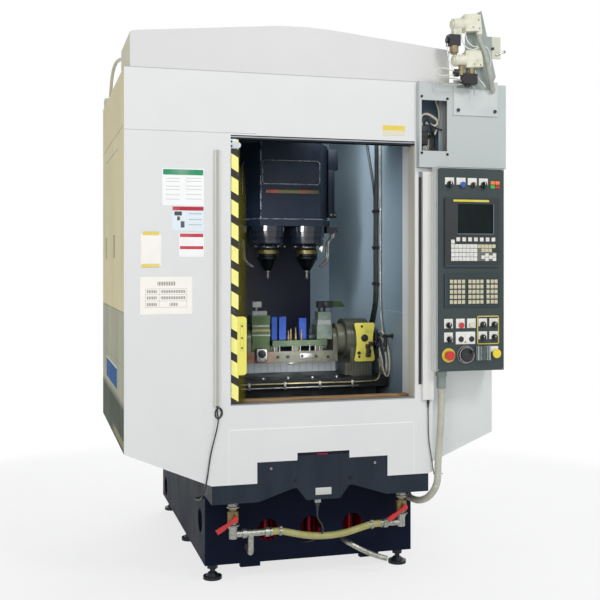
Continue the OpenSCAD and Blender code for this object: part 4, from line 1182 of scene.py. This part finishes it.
bent_rod(
    "box_cream_loop",
    [(470, -740, 2020), (466, -742, 2062), (484, -742, 2078), (522, -740, 2068), (546, -738, 2044),
     (534, -738, 2028), (504, -740, 2036), (486, -742, 2040)],
    11, cream_lead,
)
bent_rod(
    "box_black_lead",
    [(478, -735, 2022), (472, -744, 2064), (486, -750, 2068), (500, -748, 2040), (528, -740, 2022),
     (570, -736, 2010)],
    7, black_lead,
)
bent_rod(
    "box_second_lead",
    [(484, -735, 2022), (490, -748, 2050), (508, -744, 2020), (530, -720, 1996), (540, -692, 1984)], 6,
    black_lead,
)
bent_rod(
    "box_thin_wire",
    [(523, -699, 1986), (512, -716, 1974), (498, -724, 1954), (506, -716, 1934), (524, -700, 1912)], 3,
    black_lead,
)
socket_screw(
    "box_screws", (444, -800, 2147), forward, 5.5, blued_steel,
    moves=[(123, 0, -6), (0, 0, -250), (123, 0, -254)],
)

# ---------------------------------------------------------------- door and its rails
# Two sheet leaves behind the front, each with a clear polycarbonate window, run in galvanised
# channels. The leading edge carries a striped profile and a flat pull plate with three studs.
mix = Finish("galvanised_rail")
scuff = mix.cloud(40, 4, (0.05, 1, 1)).slope(0.4, 0.75)
x, y, z = mix.axes()
# Painted shade: the upper rail is painted dark, save one thin bare line where its highlight falls.
rail_shade = (z > 1) * (1 - z.slope(1.9405, 1.941))
rail_shade = rail_shade | z.slope(1.9455, 1.946)
zinc_skin = mix.blend(scuff, (176, 180, 182), (140, 144, 146))
galvanised_rail = mix.surface(
    mix.blend(rail_shade, zinc_skin, (24, 30, 38)), metallic=0.6, roughness=0.3 + scuff * 0.2,
)
coat(galvanised_rail, "door_rails")


def leaf_finish(name, low_x, high_x, low_z, high_z):
    """White powder coat round a clear window whose edges lie between these places."""
    finish = Finish(name)
    x, y, z = finish.axes()
    pane = x.within(low_x, high_x) * z.within(low_z, high_z)
    dust = finish.cloud(6, 4).slope(0.35, 0.8)
    # Painted reflection: light vertical streaks of glint on the clear window.
    pane_glint = finish.cloud(30, 3, (1, 1, 0.08)).slope(0.55, 0.8)
    paint = finish.blend(dust, (222, 223, 222), (208, 209, 206))
    return finish.surface(
        finish.blend(pane, paint, finish.blend(pane_glint, (196, 202, 196), (220, 222, 216))),
        roughness=0.35 - pane * 0.25 + pane_glint * 0.15, alpha=1 - pane * (0.72 - pane_glint * 0.2),
    )


coat(leaf_finish("door_leaf", -0.7629, -0.4391, 1.1581, 1.8619), "door_panel")
coat(leaf_finish("door_trailing_leaf", -0.7969, -0.4731, 1.1581, 1.8619), "door_trailing_panel")

mix = Finish("striped_grip")
x, y, z = mix.axes()
turn = (z - 1.7857 + (x + 0.393) * 0.6) * (math.tau / 0.0971)
bar = turn.cosine().slope(0.4, 0.48)
worn = mix.cloud(60, 4).slope(0.62, 0.7)
band_yellow = (255, 250, 150)
stripes = mix.blend(bar, band_yellow, (30, 29, 20))
outer_slot = x.within(-0.367, -0.353) * z.within(1.035, 1.154)
inner_slot = x.within(-0.3658, -0.3542) * z.within(1.0362, 1.1528)
studs = y < -0.7655
plate_zone = (y < -0.7622) * z.within(0.932, 1.182)
plate_zone = plate_zone * x.slope(-0.3805, -0.38)
pull = mix.blend((outer_slot - inner_slot) * 0.6, (240, 232, 110), (122, 112, 40))
pull = mix.blend(studs, pull, (52, 48, 28))
striped_grip = mix.surface(
    mix.blend(worn * 0.2, mix.blend(plate_zone, stripes, pull), (150, 146, 110)),
    roughness=0.35 + worn * 0.2,
)
coat(striped_grip, "door_grip")
# Painted light: a near-opaque olive film over the door's leading edge stands for the olive light seen
# there.
mix = Finish("olive_light_film")
x, y, z = mix.axes()
tinge = mix.cloud(30, 3, (1, 1, 0.2)).slope(0.3, 0.8)
top_fade = z.slope(1.64, 1.83) * x.slope(-0.378, -0.366)
olive_light_film = mix.surface(
    mix.blend(tinge * 0.3, (84, 80, 12), (60, 58, 12)), roughness=0.6, specular_ior_level=0.1,
    alpha=(1 - x.slope(-0.38, -0.338)) * (1 - top_fade) * 0.92,
)
block(
    "door_edge_film", (-380, -761, 814), (-337, -760.4, 1831), 0.2, olive_light_film, "door", 1,
)
block(
    "door_edge_film_top", (-380, -761, 1831), (-364, -760.4, 1930), 0.2, olive_light_film, "door",
    1,
)

grey_key = weathered(
    "grey_key", (120, 3, (1, 1, 0.1)), (0.35, 0.7), (196, 206, 210), (214, 222, 226), 0.4, metallic=0.2,
)
block("door_key_plate", (-416, -766.5, 1893), (-383.5, -762, 1933.5), 1.5, grey_key, "door")
turned(
    "door_key_tongue", (-377, -762.2, 1907.5), forward, [(0, 11.5), (0.8, 12.5), (3, 12.5), (3.8, 11.5)],
    grey_key, "door", sides=40,
)
block("door_key_neck", (-398, -765.8, 1895.2), (-377, -762.4, 1919.8), 1, grey_key, "door")
socket_screw("door_key_screws", (-406, -766.5, 1903), forward, 4, blued_steel, "door", moves=[(0, 0, 19)])

# ---------------------------------------------------------------- light curtain
# A pair of light bars guards the opening: a slim aluminium bar at the left with three cap screws,
# and at the right a dark slot beside a tall cover strip of folded painted sheet.
mix = Finish("curtain_bars")
x, y, z = mix.axes()
dull = mix.cloud(30, 3, (1, 1, 0.1)).slope(0.35, 0.75)
left_bar = mix.blend(
    x.within(-0.4745, -0.4625), mix.blend(dull, (212, 212, 204), (196, 197, 190)), (176, 176, 166),
)
left_bar = mix.blend(z < 0.8085, left_bar, (40, 42, 44))
slot_dark = x.within(0.4415, 0.4532)
socket_end = z > 1.792
strip_paint = mix.blend(dull, (232, 231, 226), (222, 222, 217))
right_part = mix.blend(slot_dark, strip_paint, mix.blend(socket_end, (18, 21, 26), (126, 138, 150)))
curtain_bars = mix.surface(mix.blend(x > 0, left_bar, right_part), roughness=0.35 + dull * 0.12)
coat(curtain_bars, "light_curtain")
turned(
    "curtain_lead_plug", (485, -777, 800), downward,
    [(0, 4.5), (1, 6), (18, 6), (20, 4.5), (34, 4), (36, 2.5)], black_lead, sides=20,
)
bent_rod(
    "curtain_lead",
    [(485, -777, 768), (485, -777, 740), (485.8, -777, 664), (490.5, -777, 600), (498.5, -777.5, 552),
     (505, -780, 505), (509.5, -786, 466)],
    4.5, black_lead,
)
bent_rod(
    "sensor_cable_loop",
    [(-466, -774.5, 754), (-451, -774.5, 764), (-447, -774.5, 780), (-453, -774.5, 796),
     (-464, -774.5, 798.5), (-474, -774.5, 788), (-476.5, -774.5, 772), (-470, -774.5, 757),
     (-460, -774.5, 755.5), (-452, -774.5, 768), (-450, -774.5, 782), (-456, -774.5, 793)],
    6, black_lead,
)
turned(
    "conduit_ties", (527.2, -786, 468.5), (0.02, 0, -1), [(-2.8, 16), (-2.5, 17.2), (2.5, 17.2), (2.8, 16)],
    white_nozzle, sides=32,
)
block("tie_tails", (544, -788.5, 465.5), (553, -783.5, 470.5), 1, white_nozzle)
turned(
    "conduit_low_tie", (521.5, -780, 413), (0.2, -0.2, -1),
    [(-2.8, 16), (-2.5, 17.2), (2.5, 17.2), (2.8, 16)], white_nozzle, sides=32,
)

# ---------------------------------------------------------------- operator panel
# A dark grey-green face plate in a white sheet housing, with small screws in its corners. Legend
# plates of white laminate sit behind the controls, with nothing engraved on them.
face_y = -840
mix = Finish("panel_face")
x, y, z = mix.axes()
fine = mix.cloud(900, 2)
dim = mix.cloud(5, 4).slope(0.35, 0.8)
# Painted highlight: a light line along the face plate's left and top edges.
rim = x.within(0.5, 0.5022) | z.within(1.8285, 1.8305)
front_side = y < (face_y + 0.6) / 1000
face_paint = mix.blend(dim, (44, 57, 57), (54, 65, 69))
face_paint = mix.blend(rim, face_paint, (206, 210, 208))
gland_part = z < 0.9296
housing_paint = mix.blend(gland_part, (222, 224, 222), (132, 142, 138))
panel_face = mix.surface(
    mix.blend(front_side * (1 - gland_part), housing_paint, face_paint), roughness=0.42 + dim * 0.12,
    normal=mix.relief(fine, 0.0003, 0.35),
)
coat(panel_face, "control_box")
socket_screw(
    "panel_screws", (506, face_y, 1825), forward, 3.5, zinc_screws,
    moves=[(310, 0, 0), (0, 0, -887), (310, 0, -887)],
)

white_laminate = weathered("white_laminate", (60, 4), (0.4, 0.8), (240, 240, 234), (224, 222, 210), 0.35)


def legend(name, low_x, low_z, high_x, high_z, moves=()):
    """A bare legend plate on the panel's face."""
    block(
        name, (low_x, face_y - 0.8, low_z), (high_x, face_y, high_z), 0.3, white_laminate, steps=1,
        moves=moves,
    )


legend("legend_plates_top", 538, 1756, 581.5, 1787, moves=[(55, 0, 0), (109.5, 0, -0.5), (163.5, 0, -1)])
legend("legend_plates_low", 534, 1120, 575.5, 1162, moves=[(57, 0, 0), (110, 0, 0), (0, 0, -60)])
legend("override_legends", 699, 1127, 741, 1162, moves=[(53.5, 0, 0), (0, 0, -58), (53.5, 0, -58)])
legend("release_legend", 758, 1013, 796, 1037)
legend("lock_plate", 589.5, 1049, 683, 1104)
yellow_enamel = vinyl("yellow_enamel", (222, 206, 62), [])
for low, high in (
    ((693, 1169), (799.5, 1173.5)), ((693, 1046.5), (799.5, 1050.5)), ((693, 1046.5), (697.2, 1173.5)),
    ((795.5, 1046.5), (799.5, 1173.5)),
):
    block(
        "override_frame", (low[0], face_y - 1.1, low[1]), (high[0], face_y, high[1]), 0.3, yellow_enamel,
        steps=1,
    )
block("override_divider", (743, face_y - 1, 1124), (750, face_y, 1165), 0.3, matt_black_plastic, steps=1)
turned(
    "lock_covers", (615, face_y - 0.8, 1071), forward, [(0, 12.5), (2, 12.5), (4, 10.5), (4.5, 7)],
    matt_black_plastic, sides=28, moves=[(51, 0, 0)],
)
turned(
    "lock_pin", (635, face_y - 0.8, 1058), forward, [(0, 3), (2, 3), (2.6, 2)], matt_black_plastic,
    sides=16,
)


def lit_plastic(name, colour):
    """Clear coloured plastic, as in a signal lamp or a button."""
    finish = Finish(name)
    scuffs = finish.cloud(120, 3).slope(0.5, 0.8)
    return finish.surface(colour, roughness=0.22 + scuffs * 0.25, coat_weight=0.5)


lamp_size = 10.5
for name, x, z, finish in (
    ("lamp_amber", 767, 1767, lit_plastic("amber_lens", (238, 128, 34))),
    ("lamp_amber_right", 790.5, 1767, lit_plastic("amber_lens_right", (238, 128, 34))),
    ("lamp_green", 767, 1749, lit_plastic("green_lens", (54, 176, 84))),
    ("lamp_red", 790.5, 1749, lit_plastic("red_lens", (176, 42, 44))),
):
    block(
        name, (x - lamp_size, face_y - 6, z - 7.8), (x + lamp_size, face_y, z + 7.8), 1.5, finish,
        steps=3,
    )

# ---------------------------------------------------------------- display and keys
# The screen unit is a dark moulded bezel with a yellow stripe, a green-black screen behind a raised
# edge, seven soft keys and a key block. Below it is a frame with three fields of machine keys.
mix = Finish("bezel_plastic")
x, y, z = mix.axes()
glassy = x.within(0.5955, 0.7675) * z.within(1.5395, 1.6705) * (y > -0.846)
lower_frame = z < 1.364
leather = mix.cloud(1100, 2)
shade = mix.cloud(7, 4).slope(0.35, 0.8)
moulded = mix.blend(lower_frame, (60, 64, 66), (58, 70, 72))
moulded = mix.blend(shade * 0.5, moulded, (74, 76, 72))
haze = mix.cloud(9, 3).slope(0.4, 0.8)
screen = mix.blend(haze, (8, 20, 21), (14, 31, 31))
bezel_plastic = mix.surface(
    mix.blend(glassy, moulded, screen), roughness=0.5 - glassy * 0.1, specular_ior_level=0.15,
    normal=mix.relief(leather * (1 - glassy), 0.0003, 0.4),
)
coat(bezel_plastic, "display_unit")
block("bezel_stripe", (574, -850, 1680), (747, -849, 1689.5), 0.4, yellow_enamel, steps=1)
screen_edge = powder_coat("screen_edge", (104, 122, 136), (84, 100, 112))
block("screen_edge_right", (767, -850.5, 1536), (771, -848.8, 1672), 0.6, screen_edge, steps=1)
block("screen_edge_low", (593, -850.5, 1536), (771, -848.8, 1539.5), 0.6, screen_edge, steps=1)
dark_edge = powder_coat("dark_edge", (48, 64, 80), (36, 50, 66))
# Painted shadow: a thin dark blue sheet under the screen unit.
block("bezel_shadow_lip", (534.5, -850.5, 1391.5), (796.5, -848.8, 1399), 0.6, dark_edge, steps=1)
block("frame_edge_left", (534.5, -847.5, 1215), (542, -845.8, 1360), 0.6, dark_edge, steps=1)


def key_finish(name, light, shade):
    finish = Finish(name)
    x, y, z = finish.axes()
    thumbed = finish.cloud(80, 4).slope(0.4, 0.75)
    mark = finish.cloud(420, 1).slope(0.6, 0.66) * (y < -0.847)
    face = finish.blend(thumbed, light, shade)
    return finish.surface(finish.blend(mark * 0.25, face, (120, 120, 110)), roughness=0.4)


white_keys = key_finish("white_keys", (236, 236, 230), (214, 212, 202))
cream_keys = key_finish("cream_keys", (214, 208, 178), (188, 182, 152))
block(
    "soft_keys", (588, -851.5, 1504.5), (606, -848.8, 1522.5), 1.2, white_keys, steps=1,
    moves=[(28.4 * place, 0, 0) for place in range(1, 7)],
)
pitch_x, pitch_z = 18.2, 19
block(
    "address_keys", (562, -853, 1418), (579.2, -850.8, 1435.2), 1, white_keys, steps=1,
    moves=[(pitch_x * column, 0, pitch_z * row) for row in range(4) for column in range(7) if row + column],
)
block("tall_key", (562, -853, 1494.5), (579, -848.8, 1512), 1, white_keys, steps=1)
block(
    "edit_keys", (690, -853, 1475.5), (706.5, -850.8, 1491.5), 1, cream_keys, steps=1,
    moves=[(17.6, 0, 0), (35.2, 0, 0), (52.8, 0, 0), (70.4, 0, 0), (17.6, 0, -18), (35.2, 0, -18),
     (52.8, 0, -18)],
)
block(
    "cursor_keys", (727, -853, 1418), (744, -850.8, 1434), 1, white_keys, steps=1,
    moves=[(0, 0, 18), (-19, 0, 9), (19, 0, 9), (36.5, 0, 0), (36.5, 0, 18)],
)
key_bed = powder_coat("key_bed", (108, 112, 108), (84, 88, 86))
block("key_gap", (690.5, -851.4, 1417.5), (707, -850.8, 1474), 0.2, key_bed, steps=1)
block("key_gap_right", (707.5, -851.3, 1417.5), (780, -850.7, 1457), 0.2, key_bed, steps=1)
places = [0, 19.3, 38.6, 57.9, 89, 108.3, 127.6, 146.9, 177, 197.5, 216]
block(
    "machine_keys", (557, -850.8, 1228), (572.2, -847.8, 1244.5), 1.4, cream_keys, steps=2,
    moves=[(place, 0, 22.6 * row) for row in range(5) for place in places if row + place],
)
key_field = powder_coat("key_field", (54, 62, 62), (64, 72, 72))
for low_x, high_x in ((555.5, 631.5), (644.5, 719.5), (732.5, 787.5)):
    block("key_field", (low_x, -848.4, 1225.5), (high_x, -847.8, 1336.5), 0.2, key_field, steps=1)

# ---------------------------------------------------------------- knobs, buttons and handwheel
# Moulded black knobs with a white pointer, coloured push buttons, a red mushroom head on a yellow
# ring, a pulse handwheel with a ticked ring, and a clear hinged guard over a switch.


def knob_finish(name, x_mid, z_mid, front, reach):
    """Black moulded plastic with a white pointer line on the knob's front face."""
    finish = Finish(name)
    x, y, z = finish.axes()
    off = abs(x - x_mid)
    line = (off < 0.0014) * z.within(z_mid + 0.001, z_mid + reach)
    line = line * (y < front)
    gripped = finish.cloud(90, 4).slope(0.4, 0.8)
    black = finish.blend(gripped, (24, 25, 27), (46, 47, 49))
    return finish.surface(
        finish.blend(line, black, (232, 232, 226)), roughness=0.32 + gripped * 0.2,
    )


for name, x, z, front, reach in (
    ("mode_knob", 0.56, 1.756, -0.859, 0.0135), ("lamp_knob", 0.725, 1.756, -0.859, 0.0135),
    ("upper_selector", 0.555, 1.134, -0.859, 0.0115), ("lower_selector", 0.558, 1.072, -0.859, 0.0115),
    ("override_knob_1", 0.72, 1.134, -0.857, 0.0085), ("override_knob_2", 0.776, 1.134, -0.857, 0.0085),
    ("override_knob_3", 0.72, 1.077, -0.857, 0.0085), ("override_knob_4", 0.776, 1.077, -0.857, 0.0085),
):
    coat(knob_finish(name + "_black", x, z, front, reach), name)
coat(lit_plastic("blue_button", (40, 84, 168)), "ready_button")
coat(lit_plastic("red_button", (204, 34, 44)), "stop_button")
coat(lit_plastic("white_button", (222, 220, 196)), "start_button")
coat(lit_plastic("red_mushroom", (206, 28, 34)), "emergency_stop")
coat(lit_plastic("yellow_button", (238, 214, 42)), "release_button")

mix = Finish("key_lock")
x, y, z = mix.axes()
key_part = y < -0.8525
key_lock = mix.surface(mix.blend(key_part, (30, 31, 33), (190, 184, 150)), metallic=key_part, roughness=0.3)
coat(key_lock, "key_switch")

turned(
    "stop_ring", (555, face_y, 1001), forward, [(0, 31.5), (1.8, 31.5), (2.6, 30.5), (2.6, 14)],
    yellow_enamel, sides=48,
)

mix = Finish("handwheel_ring")
x, y, z = mix.axes()
from_x = x - 0.638
from_z = z - 1.002
reach = (from_x * from_x + from_z * from_z).root()
angle = from_z.angle_from(from_x)
ticks = (angle * 50).sine() > 0.35
ticks = ticks * reach.within(0.0322, 0.0362) * (y < -0.8535)
rubbed = mix.cloud(70, 4).slope(0.4, 0.8)
wheel_black = mix.blend(rubbed, (28, 29, 33), (44, 46, 52))
handwheel_ring = mix.surface(
    mix.blend(ticks * 0.9, wheel_black, (222, 222, 218)), roughness=0.36 + rubbed * 0.2,
)
coat(handwheel_ring, "handwheel")
mix = Finish("scale_ring")
x, y, z = mix.axes()
from_x = x - 0.638
from_z = z - 1.002
angle = from_z.angle_from(from_x)
ticks = (angle * 25).sine() > 0.1
handwheel_scale = mix.surface(mix.blend(ticks, (40, 46, 50), (206, 208, 204)), roughness=0.4)
turned(
    "handwheel_scale", (638, face_y, 1002), forward, [(0, 40.5), (0.6, 40.5), (0.9, 40), (0.9, 30)],
    handwheel_scale, sides=56,
)

mix = Finish("clear_guard")
x, y, z = mix.axes()
ribs = x.within(0.6868, 0.6935) + x.within(0.7425, 0.7492) + x.within(0.7015, 0.7035)
ribs = ribs + x.within(0.7325, 0.7345) & 1
clear_guard = mix.surface(
    mix.blend(ribs, (120, 134, 132), (190, 200, 198)), roughness=0.12 + ribs * 0.2,
    alpha=0.28 + ribs * 0.35,
)
coat(clear_guard, "guard_flap")
turned(
    "guarded_switch", (718, face_y, 1008), forward,
    [(0, 12.5), (2, 12.5), (3, 10.5), (10, 10), (11, 8.5)], matt_black_plastic, sides=28,
)

# ---------------------------------------------------------------- air valves on their bracket
# A grey folded bracket is bolted over the right corner. It carries two die cast slide valves, their
# coils in black plastic, brass unions and thin white air tubes. All of it is fixed hand plumbing.
mix = Finish("bracket_paint")
x, y, z = mix.axes()
small_plate = (x > 0.7475) * z.within(2.329, 2.429)
skin = mix.cloud(14, 4).slope(0.35, 0.8)
box_white = mix.blend(skin, (208, 213, 210), (192, 199, 198))
grey_green = mix.blend(skin, (166, 174, 168), (132, 144, 142))
pale_cream = mix.blend(skin, (214, 214, 196), (196, 198, 182))
bolts = (y < -0.8065) * (z < 2.11)
bolts = bolts | (y < -0.8125)
above = (z > 2.1895) * (y < -0.8062)
painted = mix.blend(above, box_white, grey_green)
painted = mix.blend(small_plate * x.slope(0.779, 0.78), painted, pale_cream)
bracket_paint = mix.surface(mix.blend(bolts, painted, (40, 44, 46)), roughness=0.42 + skin * 0.12)
coat(bracket_paint, "air_bracket")
bent_rod(
    "bracket_stay", [(797, -812, 2344), (819, -812, 2354), (842, -812, 2364)], 10, bent_steel_pipe,
    smooth=False,
)
turned(
    "stay_tip", (838, -812, 2362.2), (0.92, 0, 0.4), [(0, 5.5), (1, 6.8), (7, 6.8), (8, 5.5)], zinc_screws,
    sides=6,
)

mix = Finish("valve_bodies")
x, y, z = mix.axes()
coil_high = x.within(0.542, 0.6045) * z.within(2.3678, 2.4165)
coil_low = x.within(0.6178, 0.6862) * z.within(2.189, 2.2482) * (y < -0.8235)
coil_side = x.within(0.5808, 0.5995) * z.within(2.23, 2.27)
brass_high = x.within(0.556, 0.605) * z.within(2.33, 2.3679)
brass_low = x.within(0.5995, 0.6305) * z.within(2.226, 2.2835)
brass_right = x.within(0.65, 0.679) * z.within(2.2481, 2.2735)
black_part = coil_high + coil_low + coil_side & 1
brass_part = (brass_high + brass_low + brass_right & 1) * (1 - black_part)
hose_line = x * 2.86 + z
hose_part = x.within(0.684, 0.796) * y.within(-0.864, -0.805) * z.within(2.172, 2.4238)
hose_part = hose_part * hose_line.within(4.352, 4.47)
grime = mix.cloud(30, 5).slope(0.45, 0.75)
cast_cream = mix.blend(grime, (228, 227, 208), (198, 196, 166))
bodies = mix.blend(hose_part, cast_cream, mix.blend(grime, (176, 180, 168), (150, 156, 146)))
bodies = mix.blend(brass_part, bodies, mix.blend(grime, (150, 136, 100), (112, 98, 66)))
bodies = mix.blend(black_part, bodies, (15, 16, 23))
valve_bodies = mix.surface(
    bodies, metallic=brass_part * 0.3, roughness=0.38 + grime * 0.2,
    normal=mix.relief(mix.cloud(160, 3), 0.0005, 0.4),
)
coat(valve_bodies, "air_valves")

air_tube = weathered(
    "tube_white", (40,), (0.3, 0.8), (238, 240, 238), (216, 220, 214), 0.3, coat_weight=0.3,
)
bent_rod(
    "air_tube_front",
    [(612, -850, 2424), (613, -852, 2402), (618, -854, 2384), (629, -855, 2367), (650, -855, 2357),
     (673, -854, 2357), (694, -850, 2366)],
    5.5, air_tube,
)
bent_rod(
    "air_tube_second",
    [(630, -852, 2432), (631, -856, 2411), (638, -858, 2391), (652, -858, 2376), (672, -857, 2368),
     (690, -852, 2371)],
    5.5, air_tube,
)
bent_rod(
    "air_tube_right",
    [(700, -846, 2370), (722, -842, 2376), (744, -838, 2369), (758, -834, 2346), (764, -832, 2316),
     (762, -830, 2288), (754, -828, 2262)],
    5.5, air_tube,
)
bent_rod(
    "air_tube_low",
    [(684, -840, 2268), (687, -842, 2252), (694, -842, 2238), (707, -840, 2224), (724, -836, 2211),
     (738, -832, 2196)],
    5.5, air_tube,
)
bent_rod(
    "air_tube_left",
    [(549, -842, 2380), (547, -846, 2356), (548, -848, 2330), (553, -848, 2305), (563, -846, 2284),
     (574, -843, 2266)],
    4.5, air_tube,
)
bent_rod(
    "coil_lead",
    [(620, -838, 2214), (600, -842, 2222), (576, -845, 2224), (555, -846, 2225), (532, -846, 2226),
     (514, -846, 2219), (509, -846, 2207), (518, -846, 2200), (555, -845, 2197), (590, -843, 2198),
     (622, -840, 2202)],
    6.5, grey_conduit,
)
bent_rod(
    "drain_stalk", [(681, -836, 2206), (681, -836, 2180), (680, -836, 2156)], 4, bent_steel_pipe,
    smooth=False,
)
socket_screw(
    "valve_screws", (664, -862, 2452), forward, 3.2, zinc_screws,
    moves=[(30, 0, -3), (26, 0, 34), (6, 0, -162), (36, 0, -165)],
)
